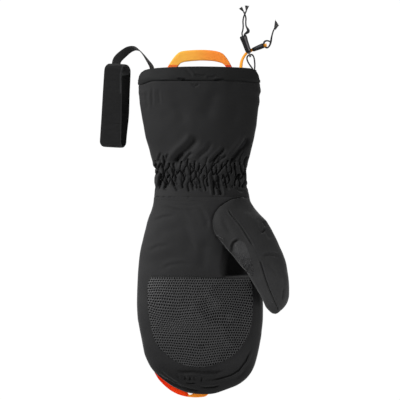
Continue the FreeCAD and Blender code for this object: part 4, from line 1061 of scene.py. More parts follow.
# heights along the thumb for each pair above: left edge z, right edge z, rise above the chord, drop below it
T_Z = [(34.0, 21.0, 1.2, 3.0), (35.6, 22.0, 3.0, 6.0), (36.8, 23.5, 5.2, 9.0), (37.8, 25.5, 7.0, 11.0), (38.6, 28.0, 8.8, 13.0),
       (39.2, 30.5, 10.6, 15.0), (39.6, 33.0, 12.2, 17.0), (39.9, 35.4, 13.4, 18.0), (40.2, 37.6, 14.6, 18.5), (40.6, 39.4, 15.4, 18.0),
       (41.2, 41.0, 16.0, 17.0), (42.6, 42.4, 16.2, 16.0), (43.6, 43.2, 16.0, 15.5), (44.0, 43.6, 15.8, 15.0), (43.6, 43.4, 15.4, 14.6),
       (42.6, 42.6, 14.8, 14.0), (41.4, 41.4, 13.6, 13.0), (40.0, 40.0, 12.0, 11.6), (38.6, 38.6, 10.0, 9.8), (37.4, 37.4, 7.4, 7.4),
       (36.6, 36.6, 4.6, 4.6)]
SEAM = [(226.5, 203.5), (228.4, 209.0), (230.6, 214.2), (235.0, 219.2), (240.0, 225.2), (245.5, 233.6), (251.2, 243.2), (256.0, 251.0),
        (260.3, 262.0), (262.7, 270.0), (265.6, 279.5), (269.4, 289.5), (273.4, 299.5), (277.6, 309.0)]


def thumb_rings(nv=190):
    v = np.linspace(0, 1, nv)
    Lc = resample(np.concatenate([px(T_L), np.array([(a, d) for a, b, c, d in T_Z])], 1), v)
    Rc = resample(np.concatenate([px(T_R), np.array([(b, c) for a, b, c, d in T_Z])], 1), v)
    return Lc, Rc


TH_L, TH_R = thumb_rings()


def thumb_grid(scale_in=0.0, n_in=70, n_out=80, n_low=60, detail=True):
    """Rings of the thumb: left edge, over the top past the centre seam to the right edge, and back underneath."""
    Lc, Rc = TH_L, TH_R
    nv = len(Lc)
    seam = px(SEAM)
    rings = []
    for i in range(nv):
        a = np.array([Lc[i, 0], Lc[i, 1], Lc[i, 2]])
        b = np.array([Rc[i, 0], Rc[i, 1], Rc[i, 2]])
        c, hw = (a + b) / 2, (b - a) / 2
        up, dn = Rc[i, 3], Lc[i, 3]
        if scale_in:
            w = np.linalg.norm(hw)
            f = max(0.08, 1 - scale_in / max(w, 1e-6))
            hw = hw * f
            up, dn = max(0.4, up - scale_in), max(0.4, dn - scale_in)
        # where the seam crosses this ring's chord
        dirv = (b - a)[:2]
        ln = np.linalg.norm(dirv)
        dirv = dirv / ln
        rel = seam - a[:2]
        side = rel @ np.array([-dirv[1], dirv[0]])
        t = None
        for k in range(len(seam) - 1):
            if side[k] * side[k + 1] <= 0:
                q = side[k] / (side[k] - side[k + 1] + 1e-12)
                s0 = rel[k] + (rel[k + 1] - rel[k]) * q
                t = float(s0 @ dirv) / ln
                break
        if t is not None:
            t = min(0.93, max(0.07, t))
        rings.append((c, hw, up, dn, t))
    have = [k for k, r in enumerate(rings) if r[4] is not None]
    ts = np.interp(np.arange(nv), have, [rings[k][4] for k in have])
    k = np.ones(9) / 9
    ts = np.convolve(np.pad(ts, 4, mode="edge"), k, "valid")
    out_in, out_out, out_low = [], [], []
    for (c, hw, up, dn, _), t in zip(rings, ts):
        ps = math.acos(max(-1, min(1, 2 * t - 1)))

        def pt(phi, h):
            e = 0.92
            return c + hw * math.cos(phi) + np.array([0, 0, h * math.copysign(abs(math.sin(phi)) ** e, math.sin(phi))])
        out_in.append([pt(p, up) for p in np.linspace(math.pi, ps, n_in)])
        out_out.append([pt(p, up) for p in np.linspace(ps, 0, n_out)])
        out_low.append([pt(p, dn) for p in np.linspace(0, -math.pi, n_low)])
    return np.array(out_in), np.array(out_out), np.array(out_low)


THUMB_FOLDS = [
    ([(262.0, 221), (264.6, 223.6), (266.0, 227.4)], 1.8, 1.2, 0.5, 1.8, 0.3, 0),
    ([(260.6, 232.6), (263.6, 230.8), (265.6, 228)], 1.6, 1.2, 0.5, 1.8, 0.3, 0),
    ([(256, 216), (260, 221), (262, 228), (261, 236)], 0.9, 2.6, 0.3, 3.2, 0.3, 0),
    ([(263, 227), (267, 233), (271, 240)], 1.0, 2.2, 0, 0, 0.3, 0),
    ([(262, 256.0), (268, 254.2), (274, 255), (279, 257.4)], 1.5, 1.5, 0.6, 2.2, 0.25, 0),
    ([(264, 262), (270, 266), (275, 272), (279, 280)], 0.7, 2.6, 0, 0, 0.3, 0),
    ([(283.0, 286.6), (282.6, 292), (281.2, 300.5)], 1.0, 1.5, 0.5, 2.3, 0.25, 0),
    ([(278, 268), (283, 277), (285, 287)], 0.8, 2.4, 0.2, 3.0, 0.3, 0),
    ([(265.5, 300), (271, 302.8), (276, 306.0)], 0.9, 1.3, 0, 0, 0.3, 0),
    ([(243, 208), (250, 212), (256, 219)], 0.6, 3.0, 0, 0, 0.3, 0),
    ([(222, 214), (224, 222), (229, 231), (233, 238)], 0.6, 3.0, 0, 0, 0.3, 0),
    ([(215.5, 236.2), (219.5, 238.2), (223.5, 240.8)], 1.2, 1.3, 0.6, 2.4, 0.25, 0),
    ([(232.6, 254.0), (231.6, 250.0), (231.7, 246.2), (233.2, 242.8), (236.2, 240.6), (240.0, 239.8)], 1.9, 1.2, 0.6, 2.4, 0.2, 0),
    ([(250, 272), (256, 278), (262, 290)], 0.5, 2.0, 0, 0, 0.3, 0),
]


def thumb_detail(P, edge_cols):
    """Folds on the upper side and the pulled-in seam at the panel's seam column."""
    X, Y = P[..., 0], P[..., 1]
    d = np.zeros(X.shape)
    for pts, dep, wid, rid, off, tap, sd in THUMB_FOLDS:
        d += crease(X, Y, pts, dep, wid, rid, off, tap, sd)
    d += (vnoise(X / 15 + 31, Y / 17 + 8, 5) - 0.5) * 1.0 + (vnoise(X / 6 + 3, Y / 7 + 8, 6) - 0.5) * 0.35
    n = normals(P)
    if np.mean(n[..., 2]) < 0:
        n = -n
    nv, nu = X.shape
    col = np.arange(nu)
    if edge_cols == "last":
        q = nu - 1 - col
    else:
        q = col
    rows = np.arange(nv)
    ys = Y[:, -1] if edge_cols == "last" else Y[:, 0]
    xs = X[:, -1:] if edge_cols == "last" else X[:, :1]
    seam_on = smoothstep(89.0, 85.5, ys)
    # the seam fades where the cloth is taut and shows again nearer the tip
    fade = 1 - 0.93 * smoothstep(53.5, 48.0, ys) * smoothstep(29.5, 33.5, ys)
    dd = np.linalg.norm(P - (P[:, -1:] if edge_cols == "last" else P[:, :1]), axis=2)
    groove = (-1.35 * np.exp(-(dd / 0.75) ** 2) + 0.35 * np.exp(-((dd - 2.0) / 1.0) ** 2)) * (seam_on * fade)[:, None]
    edge = smoothstep(0, 6, np.minimum(q + 6, nu - 1 - q if edge_cols == "last" else q) * 0 + (col if edge_cols == "last" else nu - 1 - col))
    d = d * edge[None] + groove
    tip = smoothstep(0, 6, nv - 1 - rows)[:, None]
    return P + n * (d * tip)[..., None]


TI, TO, TLOW = thumb_grid()
TI = thumb_detail(TI, "last")
TO = thumb_detail(TO, "first")
TI[:, -1] = TO[:, 0] = (TI[:, -1] + TO[:, 0]) / 2
TO[:, -1] = TLOW[:, 0]
TOUT = np.concatenate([TO, TLOW[:, 1:]], 1)
TI[:, 0] = TOUT[:, -1]


def close_tip(P, centre):
    """Adds rows that draw the last ring of a panel in to the tip's centre line."""
    last = P[-1]
    rows = []
    for k in (0.35, 0.65, 0.85, 0.97):
        c = centre
        r = 1 - k
        q = c[None] + (last - c[None]) * (r ** 0.8)
        q[:, 1] = last[:, 1] - (last[:, 1] * 0 + 3.2) * math.sin(k * math.pi / 2)
        rows.append(q)
    return np.concatenate([P, np.array(rows)], 0)


tipc = (TH_L[-1, :3] + TH_R[-1, :3]) / 2
TI2, TOUT2 = close_tip(TI, tipc), close_tip(TOUT, tipc)
thumb_i = shell("thumb_inner_panel", TI2, 0.7, MAT["thumb"], -1)
thumb_o = shell("thumb_outer_panel", TOUT2, 0.7, MAT["thumb"], -1)
THUMB_TREE = bvh_of(TI2, TOUT2)

# ------------------------------------------------------------------ palm grip patch
PATCH_PX = [(150.2, 276.1), (147.4, 281), (146.7, 286.6), (146.6, 296), (147.2, 306.3), (148.3, 317), (150.2, 327.3), (152.2, 335.5),
            (155, 342.8), (160, 349.6), (166.3, 355.4), (172.4, 360), (178.9, 363.8), (184.4, 366.0), (190.2, 367.3), (197.2, 368.0),
            (204.2, 367.3), (211.4, 366.0), (218.2, 363.8), (225.6, 361.0), (232.3, 356.8), (237.6, 352.4), (242, 347), (246, 341.0),
            (249, 334.3), (251.2, 327.5), (252.6, 320.3), (253.3, 310), (253.5, 299.3), (253.5, 289.4), (252.6, 282), (250.4, 276.9)]
PATCH = px(PATCH_PX)


def inside(x, y, poly):
    n = len(poly)
    c = np.zeros(np.shape(x), bool)
    j = n - 1
    for i in range(n):
        xi, yi, xj, yj = poly[i, 0], poly[i, 1], poly[j, 0], poly[j, 1]
        c ^= ((yi > y) != (yj > y)) & (x < (xj - xi) * (y - yi) / (yj - yi + 1e-12) + xi)
        j = i
    return c


def patch_base():
    """Thin sheet over the palm, cut to the patch outline: rings shrunk towards its middle."""
    mid = np.array([0.2, -28.0])
    ring = resample(np.vstack([PATCH, PATCH[:1]]), 221, smooth=False)[:-1]
    fr = np.concatenate([[1.0, 0.995, 0.985], np.linspace(0.96, 0.04, 44)])
    rows = []
    for k, f in enumerate(fr):
        q = mid + (ring - mid) * f
        lift = [-0.4, 0.25, 0.42][k] if k < 3 else 0.45
        rr = []
        for x, y in q:
            h, n = drop(PALM_TREE, x, y)
            z = h.z if h is not None else 30.0
            rr.append((x, y, z + lift))
        rows.append(rr)
    P = np.array(rows)
    c = P[-1].mean(0)
    verts = np.vstack([P.reshape(-1, 3), c[None]])
    nv, nu = P.shape[:2]
    faces = grid_faces(nv, nu, 0, True, False)
    for j in range(nu):
        faces.append(((nv - 1) * nu + j, (nv - 1) * nu + (j + 1) % nu, nv * nu))
    low = verts.copy()
    low[:, 2] -= 0.5
    N = len(verts)
    allv = np.vstack([verts, low])
    allf = faces + [tuple(N + i for i in f[::-1]) for f in faces]
    for j in range(nu):
        allf.append(((j + 1) % nu, j, N + j, N + (j + 1) % nu))
    return link("grip_patch_sheet", allv * MM, allf, MAT["patch"])


def dots(name, centres, tree, lx, ly, h, mat, sink=0.15, lift=0.0, ang=None):
    """Raised grip dots: low rounded domes laid on a surface."""
    verts, faces = [], []
    ring = [(math.cos(a), math.sin(a)) for a in np.linspace(0, 2 * math.pi, 10, endpoint=False)]
    for k, (x, y) in enumerate(centres):
        hit, n = drop(tree, x, y)
        if hit is None:
            continue
        if n.z < 0:
            n = -n
        t = Vector((1, 0, 0)) - n * n.x
        t.normalize()
        b = n.cross(t)
        if ang is not None:
            t, b = t * math.cos(ang[k]) + b * math.sin(ang[k]), b * math.cos(ang[k]) - t * math.sin(ang[k])
        c = hit + n * (lift - sink)
        i = len(verts)
        for rr, hh in ((1.0, 0.0), (0.93, 0.62), (0.55, 0.95)):
            for ca, sa in ring:
                verts.append(c + t * (lx / 2 * rr * ca) + b * (ly / 2 * rr * sa) + n * ((h + sink) * hh))
        verts.append(c + n * (h + sink))
        m = len(ring)
        for r in range(2):
            for j in range(m):
                j2 = (j + 1) % m
                faces.append((i + r * m + j, i + r * m + j2, i + (r + 1) * m + j2, i + (r + 1) * m + j))
        for j in range(m):
            faces.append((i + 2 * m + j, i + 2 * m + (j + 1) % m, i + 3 * m))
        faces.append(tuple(i + j for j in range(m))[::-1])
    return link(name, np.array([tuple(v) for v in verts]) * MM, faces, mat)


patch = patch_base()


def lattice():
    """Moulded grip: crossing ribs with a small pit in every cell, following the wave of the cloth."""
    px_, py_ = 2.63, 2.76
    kx, ky = 6, 6
    dx, dy = px_ / kx, py_ / ky
    nx, ny = int(122 / dx), int(104 / dy)
    inner = np.array([0.2, -28.0]) + (PATCH - np.array([0.2, -28.0])) * 0.985
    gi, gj = np.meshgrid(np.arange(nx), np.arange(ny), indexing="ij")
    u = -61.0 + gi * dx
    v = 14.66 - gj * dy
    x = u + 0.5 * np.sin(v / 19) + 0.3 * np.sin(v / 5.5 + u / 11) + 0.25 * np.sin(gj / ky * 2.4)
    wob = (vnoise(u / 21 + 2, v / 24 + 6, 2) - 0.5) * 3.2 + (vnoise(u / 8 + 2, v / 9 + 6, 5) - 0.5) * 0.9
    wob = wob + 1.6 * np.sin((u + 8) / 15.0) * np.exp(-((v + 26) / 24.0) ** 2)
    y = v + wob * smoothstep(15.0, -4.0, v) + 1.0 * np.sin(u / 17 + v / 50) * smoothstep(10, -20, v)
    # every second row of cells is set over by half a cell
    over = (kx // 2) * ((gj // ky) % 2)
    cell = (np.abs(np.sin(math.pi * (gi + over) / kx)) ** 1.6) * (np.abs(np.sin(math.pi * gj / ky)) ** 1.35)
    pit = smoothstep(0.24, 0.62, cell)
    rowj = 0.5 + 0.5 * np.cos(2 * math.pi * gj / ky)
    # painted shade: the near-black pit colour covers more of each cell towards the lower right of the patch
    shade = np.clip(0.9 - (x + 45) / 75.0 + (y + 30) / 150.0 + 1.1 * (vnoise(x / 17, y / 15, 9) - 0.5), 0, 1)
    ok = inside(x, y, inner)
    # height above the palm at a coarse grid, then interpolated
    cs_ = 2.0
    gx, gy = np.arange(-64, 64.1, cs_), np.arange(-92, 18.1, cs_)
    Z = np.zeros((len(gx), len(gy)))
    for a, xx in enumerate(gx):
        for b, yy in enumerate(gy):
            h, n = drop(PALM_TREE, xx, yy)
            Z[a, b] = h.z if h is not None else 0
    fx, fy = (x + 64) / cs_, (y + 92) / cs_
    ix, iy = np.clip(fx.astype(int), 0, len(gx) - 2), np.clip(fy.astype(int), 0, len(gy) - 2)
    fx, fy = fx - ix, fy - iy
    zb = (Z[ix, iy] * (1 - fx) * (1 - fy) + Z[ix + 1, iy] * fx * (1 - fy) + Z[ix, iy + 1] * (1 - fx) * fy + Z[ix + 1, iy + 1] * fx * fy)
    z = zb + 0.45 + 0.06 + 0.55 * (1 - pit) * (0.62 + 0.38 * vnoise(u / 1.9, v / 2.2, 4)) + 0.10 * rowj * (1 - pit)
    use = ok[:-1, :-1] & ok[1:, :-1] & ok[:-1, 1:] & ok[1:, 1:]
    ids = -np.ones((nx, ny), int)
    need = np.zeros((nx, ny), bool)
    for a in (0, 1):
        for b in (0, 1):
            need[a:nx - 1 + a, b:ny - 1 + b] |= use
    ids[need] = np.arange(need.sum())
    topv = np.stack([x[need], y[need], z[need]], -1)
    botv = topv.copy()
    botv[:, 2] = zb[need] + 0.2
    N = len(topv)
    faces, pits = [], []
    edges = {}
    for a, b in zip(*np.nonzero(use)):
        q = (ids[a, b], ids[a, b + 1], ids[a + 1, b + 1], ids[a + 1, b])
        faces.append(q)
        pits.append(pit[a:a + 2, b:b + 2].mean() > 0.27 + 0.12 * shade[a, b])
        for k in range(4):
            e = (q[k], q[(k + 1) % 4])
            if (e[1], e[0]) in edges:
                del edges[(e[1], e[0])]
            else:
                edges[e] = 1
    nf = len(faces)
    faces += [tuple(N + i for i in f[::-1]) for f in faces[:nf]]
    faces += [(b, a, N + a, N + b) for a, b in edges]
    o = link("grip_lattice", np.vstack([topv, botv]) * MM, faces, MAT["dots"])
    o.data.materials.append(MAT["pit"])
    idx = [1 if (k < nf and pits[k]) or nf <= k < 2 * nf else 0 for k in range(len(faces))]
    if len(idx) == len(o.data.polygons):
        o.data.polygons.foreach_set("material_index", idx)
    return o


grip = lattice()

# thumb grip patch: small pebbled sheet on the inner side of the thumb
TP_PX = [(240.2, 240.6), (236.8, 241.4), (235.0, 243.6), (234.3, 247.6), (234.4, 252.0), (235.8, 257.0), (239.2, 262.2), (243.2, 267.2),
         (247.4, 272.2), (251.4, 276.0), (253.4, 272.4), (253.0, 266.0), (251.2, 259.0), (248.8, 252.0), (246.6, 246.4), (244.0, 242.2)]


def thumb_patch():
    poly = px(TP_PX)
    mid = poly.mean(0)
    ring = resample(np.vstack([poly, poly[:1]]), 221, smooth=True)[:-1]
    rows = []
    fr = np.concatenate([[1.0, 0.975, 0.945], np.linspace(0.91, 0.03, 46)])
    for k, f in enumerate(fr):
        q = mid + (ring - mid) * f
        lift = [-0.3, 0.45, 0.7][k] if k < 3 else 0.75
        rr = []
        for x, y in q:
            h, n = drop(THUMB_TREE, x, y)
            if h is None:
                rr.append((x, y, 40.0))
                continue
            if n.z < 0:
                n = -n
            low_ = float(smoothstep(44.0, 26.0, y))
            peb = (0.14 + 0.42 * low_) * math.sin(x * 3.0 + math.sin(y * 1.7)) * math.sin(y * 2.7 + math.sin(x * 1.3)) if k > 2 else 0
            far = float(smoothstep(0.0, 9.0, x - (37.5 + (50.0 - y) * 0.40)))
            w = h + n * (lift * (1 - 0.72 * far) + peb * (1 - 0.5 * far))
            rr.append(tuple(w))
        rows.append(rr)
    P = np.array(rows)
    c = P[-1].mean(0)
    verts = np.vstack([P.reshape(-1, 3), c[None]])
    nv, nu = P.shape[:2]
    faces = grid_faces(nv, nu, 0, True, False)
    for j in range(nu):
        faces.append(((nv - 1) * nu + j, (nv - 1) * nu + (j + 1) % nu, nv * nu))
    low = verts.copy()
    low[:, 2] -= 0.6
    N = len(verts)
    allf = faces + [tuple(N + i for i in f[::-1]) for f in faces]
    for j in range(nu):
        allf.append(((j + 1) % nu, j, N + j, N + (j + 1) % nu))
    return link("thumb_grip_sheet", np.vstack([verts, low]) * MM, allf, MAT["thumb_patch"])


tpatch = thumb_patch()

# ------------------------------------------------------------------ stitches
def stitches(name, line, tree, pitch=2.6, length=1.7, r=0.22, lift=0.05, mat=None, smooth=True):
    """A row of short thread stitches laid along a line on a surface."""
    p = resample(px(line), 400, smooth=smooth)
    s = np.concatenate([[0], np.cumsum(np.linalg.norm(np.diff(p, axis=0), axis=1))])
    verts, faces = [], []
    k = pitch / 2
    while k < s[-1] - pitch / 2:
        pts = []
        for q in (k - length / 2, k, k + length / 2):
            x, y = np.interp(q, s, p[:, 0]), np.interp(q, s, p[:, 1])
            h, n = drop(tree, x, y)
            if h is None:
                break
            if n.z < 0:
                n = -n
            pts.append((h, n))
        k += pitch
        if len(pts) < 3:
            continue
        d = (pts[2][0] - pts[0][0]).normalized()
        i = len(verts)
        for m, (h, n) in enumerate(pts):
            b = d.cross(n).normalized()
            rr = r if m == 1 else r * 0.55
            up = lift + (r if m == 1 else -0.1)
            for a in range(6):
                an = a * math.pi / 3
                verts.append(h + n * (up + rr * math.sin(an)) + b * (rr * math.cos(an) * 1.2))
        for m in range(2):
            for a in range(6):
                a2 = (a + 1) % 6
                faces.append((i + m * 6 + a, i + m * 6 + a2, i + (m + 1) * 6 + a2, i + (m + 1) * 6 + a))
        faces.append(tuple(i + a for a in range(6))[::-1])
        faces.append(tuple(i + 12 + a for a in range(6)))
    return link(name, np.array([tuple(v) for v in verts]) * MM, faces, mat or MAT["stitch"])


st_wrist = stitches("wrist_stitches", [(155.5, 199.2), (166, 199.5), (177, 200.2), (192, 200.6), (210, 200.4), (226, 199.2)], PALM_TREE)
st_patch = stitches("patch_stitches", [(150.6, 275.0), (175, 275.0), (200, 275.2), (228, 275.4)], PALM_TREE, pitch=2.4, length=1.5)
st_tip = stitches("tip_stitches", [(246.8, 362.4), (240.2, 371.2), (232, 376.4), (221, 379.3), (209, 381.0)], PALM_TREE, pitch=2.4, length=1.5, r=0.18)
st_hem = stitches("hem_stitches", [(142, 86.2), (150, 84.0), (165, 83.2), (200, 83.2), (235, 83.4), (250, 84.2), (256, 85.6)], CUFF_TREE, pitch=2.5, length=1.6, r=0.18)

# ------------------------------------------------------------------ inner layers
def oval_bag(name, d_out, d_in, rows, secf, mat, y0, y1, part="both", dip=True, end_cap=True, nu=96, nv=70):
    """A layer of the mitten between two depths below the outside; part is both, top or low."""
    yv = np.linspace(y0, y1, nv)

    def face(d):
        cx, W, H, zs = secf(yv)
        if secf is cuff_sec:
            d = d + 3.4 * smoothstep(98, 106, yv) * smoothstep(158, 146, yv)
        w, h = np.maximum(W - d, 1.0), np.maximum(H / 2 - d, 0.6)
        th = np.linspace(0, 2 * math.pi, nu, endpoint=False) if part == "both" else (
            np.linspace(0, math.pi, nu) if part == "top" else np.linspace(math.pi, 2 * math.pi, nu))
        X = cx[:, None] + w[:, None] * np.cos(th)[None]
        Z = zs[:, None] + h[:, None] * np.sin(th)[None]
        Y = np.repeat(yv[:, None], len(th), 1)
        if dip:
            Z = Z - smoothstep(0.0, 0.35, np.sin(th)[None]) * (palm_dip(X, Y) + 1.8)
        return np.stack([X, Y, Z], -1)
    A, B = face(d_out), face(d_in)
    return shell(name, A, 0, mat, 1, closed_u=(part == "both"), inner=B)


memb = oval_bag("waterproof_bag", 1.9, 2.3, None, hand_sec, MAT["membrane"], 101.5, -92.0)
fill_t = oval_bag("palm_wadding", 2.6, 5.6, None, hand_sec, MAT["fill"], 101.5, -90.0, part="top")
fill_b = oval_bag("back_wadding", 2.6, 5.6, None, hand_sec, MAT["fill"], 101.5, -90.0, part="low")
lin_h = oval_bag("hand_lining_bag", 5.9, 6.8, None, hand_sec, MAT["lining"], 101.0, -84.0)
lin_w = oval_bag("cuff_lining_tube", 3.9, 4.7, None, cuff_sec, MAT["lining"], 229.0, 101.5, dip=False, nv=120, nu=160)
el = []
for k, e in enumerate(EL_ROWS):
    el.append(oval_bag("wrist_elastic_row_%d" % (k + 1), 2.4, 3.0, None, cuff_sec, MAT["elastic"], e + 2.5, e - 2.5, dip=False, nv=6, nu=120))

ti_in, ti_out, ti_low = thumb_grid(scale_in=4.0, n_in=24, n_out=24, n_low=30)
A = np.concatenate([ti_in, ti_out[:, 1:], ti_low[:, 1:-1]], 1)[:-6]
ti2 = thumb_grid(scale_in=6.0, n_in=24, n_out=24, n_low=30)
B = np.concatenate([ti2[0], ti2[1][:, 1:], ti2[2][:, 1:-1]], 1)[:-6]
ti3 = thumb_grid(scale_in=6.8, n_in=24, n_out=24, n_low=30)
C = np.concatenate([ti3[0], ti3[1][:, 1:], ti3[2][:, 1:-1]], 1)[:-6]
i0 = 62
th_fill = shell("thumb_wadding", A[i0:], 0, MAT["fill"], -1, closed_u=True, inner=B[i0:])
th_lin = shell("thumb_lining_bag", B[i0:], 0, MAT["lining"], -1, closed_u=True, inner=C[i0:])

# ------------------------------------------------------------------ webbing
def strip(name, P, wdir, wide, thick, mat, ribs=0.0, rib_pitch=1.2, ncross=9, closed=False, bead=0.0):
    """Flat webbing: P path (mm), wdir width direction at each point, ribs raised across it."""
    P = np.asarray(P, float)
    W = np.asarray(wdir, float)
    W = W / np.linalg.norm(W, axis=1, keepdims=True)
    if closed:
        T = np.roll(P, -1, 0) - np.roll(P, 1, 0)
    else:
        T = np.gradient(P, axis=0)
    T /= np.linalg.norm(T, axis=1, keepdims=True)
    N = np.cross(W, T)
    N /= np.linalg.norm(N, axis=1, keepdims=True)
    s = np.concatenate([[0], np.cumsum(np.linalg.norm(np.diff(P, axis=0), axis=1))])
    c = np.linspace(-1, 1, ncross)
    if bead:
        b_ = bead / max(float(np.max(wide)), 1.0)
        c = np.concatenate([[-1.0, -1 + b_], np.linspace(-1 + 2 * b_, 1 - 2 * b_, ncross - 4), [1 - b_, 1.0]])
    wv = np.ones(len(P)) * wide if np.ndim(wide) == 0 else np.asarray(wide)
    rib = ribs * (0.5 + 0.5 * np.cos(2 * math.pi * s / rib_pitch))
    if closed:
        rib = rib - 0.55 * smoothstep(0.60, 0.80, vnoise(s / 1.7, 0.5, 4)) * (0.35 + 0.65 * smoothstep(0.35, 0.75, s / 92.0))
    edge = 1 - 0.45 * np.abs(c) ** 8
    if closed:
        # puckers run only part of the way across
        part = vnoise(c[None] * 1.9 + 4, s[:, None] / 2.6, 5)
        rib2 = -0.95 * smoothstep(0.50, 0.70, part) * smoothstep(0.58, 0.80, vnoise(s / 1.3, 2.5, 3))[:, None]
    else:
        rib2 = np.zeros((len(s), len(c)))
    topv = P[:, None] + W[:, None] * (c[None, :, None] * wv[:, None, None] / 2) + N[:, None] * ((thick / 2 * edge)[None] + rib[:, None] + rib2)[..., None]
    lowv = P[:, None] + W[:, None] * (c[None, :, None] * wv[:, None, None] / 2) - N[:, None] * ((thick / 2 * edge)[None] + rib[:, None])[..., None]
    G = np.concatenate([topv, lowv[:, ::-1]], 1)
    nv, nu = G.shape[:2]
    faces = grid_faces(nv, nu, 0, True, True)
    if closed:
        for j in range(nu):
            j2 = (j + 1) % nu
            faces.append(((nv - 1) * nu + j, j, j2, (nv - 1) * nu + j2))
    else:
        faces.append(tuple(range(nu)))
        faces.append(tuple((nv - 1) * nu + j for j in range(nu))[::-1])
    return link(name, G.reshape(-1, 3) * MM, faces, mat)


# leash strap
STRAP = [(-52.3, 241.6, 16.8), (-53.6, 246.2, 16.5), (-57.75, 252.6, 15.8), (-62.7, 259.4, 14.6), (-67.1, 263.8, 13.2), (-72.0, 265.9, 11.8),
         (-78.4, 264.3, 10.3), (-84.9, 259.6, 8.9), (-89.6, 255.2, 7.9), (-91.8, 251.6, 7.4), (-92.4, 247.4, 7.2)]
TURN = [-28, -25, -15, -5, 3, 26, 50, 70, 82, 87, 90]
sp = resample(np.array([(*p, t) for p, t in zip(STRAP, TURN)]), 120)
Tt = np.gradient(sp[:, :3], axis=0)
Tt /= np.linalg.norm(Tt, axis=1, keepdims=True)
zp = np.array([0, 0, 1.0])[None] - Tt * Tt[:, 2:3]
zp /= np.linalg.norm(zp, axis=1, keepdims=True)
sd = np.cross(Tt, zp)
r_ = np.radians(sp[:, 3])[:, None]
strap = strip("leash_strap_web", sp[:, :3], zp * np.cos(r_) + sd * np.sin(r_), 9.6, 1.0, MAT["strap"], ribs=0.05, rib_pitch=1.0)
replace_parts(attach(strap, "leash_strap"), "leash_strap")


# leash band
def leash_band():
    half, R = 46.2, 6.05
    c = half - R - 0.9
    pts = []
    n1, n2 = 150, 26
    for y in np.linspace(c, -c, n1):
        pts.append((y, R))
    for a in np.linspace(0, math.pi, n2)[1:-1]:
        pts.append((-c - R * math.sin(a), R * math.cos(a)))
    for y in np.linspace(-c, c, n1):
        pts.append((y, -R))
    for a in np.linspace(0, math.pi, n2)[1:-1]:
        pts.append((c + R * math.sin(a), -R * math.cos(a)))
    pts = np.array(pts)
    ycoord, zc = pts[:, 0], pts[:, 1]
    # slack webbing is not quite flat
    zc = zc + 0.35 * np.sin(ycoord / 13.0) * np.sign(zc) * (np.abs(ycoord) < c)
    x = -0.60 * zc + 0.45 * np.sin(ycoord / 21.0)
    a = math.radians(-3.0)
    X = x * math.cos(a) - ycoord * math.sin(a) - 93.3
    Y = x * math.sin(a) + ycoord * math.cos(a) + 202.9
    P = np.stack([X, Y, zc + 7.2], -1)
    wd = np.tile(np.array([math.cos(a), math.sin(a), 0.0]), (len(P), 1))
    # the top end is drawn in where the strap is sewn to it, and the edges round over at the ends
    wide = 21.6 - 2.6 * np.exp(-((ycoord - half) / 4.5) ** 2) - 0.8 * np.exp(-((ycoord + half) / 3.0) ** 2)
    P2 = resample(np.vstack([P, P[:1]]), 640, smooth=False)[:-1]
    s0 = np.concatenate([[0], np.cumsum(np.linalg.norm(np.diff(np.vstack([P, P[:1]]), axis=0), axis=1))])
    q = np.linspace(0, s0[-1], 640)[:-1]
    wide2 = np.interp(q, s0, np.append(wide, wide[0]))
    wd2 = np.tile(wd[0], (len(P2), 1))
    return strip("leash_band_web", P2, wd2, wide2, 1.5, MAT["band"], ribs=0.10, rib_pitch=s0[-1] / round(s0[-1] / 1.5), closed=True, ncross=19, bead=0.9)


band = leash_band()
# the near run narrows towards the strap, so its inner side shows along the right
_c3, _s3 = math.cos(math.radians(-3.0)), math.sin(math.radians(-3.0))
for v in band.data.vertices:
    dx_, dy_ = v.co.x / MM + 93.3, v.co.y / MM - 202.9
    xl, yl = dx_ * _c3 + dy_ * _s3, -dx_ * _s3 + dy_ * _c3
    e_ = float(np.interp(yl, [-46, -20, 18, 35, 45], [1.9, 0.9, -0.9, -2.3, -0.2])) * float(smoothstep(7.2, 12.0, v.co.z / MM))
    e_ *= min(1.0, max(0.0, (xl + 14.4) / 21.6))
    # the far run bows out a little in the middle
    e_ += 1.5 * math.exp(-((yl + 12.0) / 20.0) ** 2) * float(smoothstep(7.2, 3.0, v.co.z / MM)) * min(1.0, max(0.0, (xl + 4.0) / 16.0))
    v.co.x += e_ * _c3 * MM
    v.co.y += e_ * _s3 * MM
band.data.materials.append(MAT["band_in_shade"])
band.data.materials.append(MAT["band_edge_highlight"])
band.data.materials.append(MAT["band_turn_painted_light"])
for k, p in enumerate(band.data.polygons):
    c, n = p.center / MM, p.normal
    # faces that look into the loop: painted shade inside it, and painted light on its top turn, which the near run
    # shades
    yl = -(c.x + 93.3) * _s3 + (c.y - 202.9) * _c3
    xl = (c.x + 93.3) * _c3 + (c.y - 202.9) * _s3
    if (c.z < 6.9 and n.z > 0.25) or (c.z > 7.5 and n.z < -0.25):
        p.material_index = 1 if yl < 33.6 + 0.25 * (xl - 7.0) else 3
    # painted highlight along the selvedge of the near run
    elif n.z > 0.3 and c.z > 10.5 and xl > float(np.interp(yl, [-46, -20, 18, 35, 45], [9.1, 8.1, 6.3, 4.9, 7.0])) - 1.5:
        p.material_index = 2
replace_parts(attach(band, "leash_band"), "leash_band")


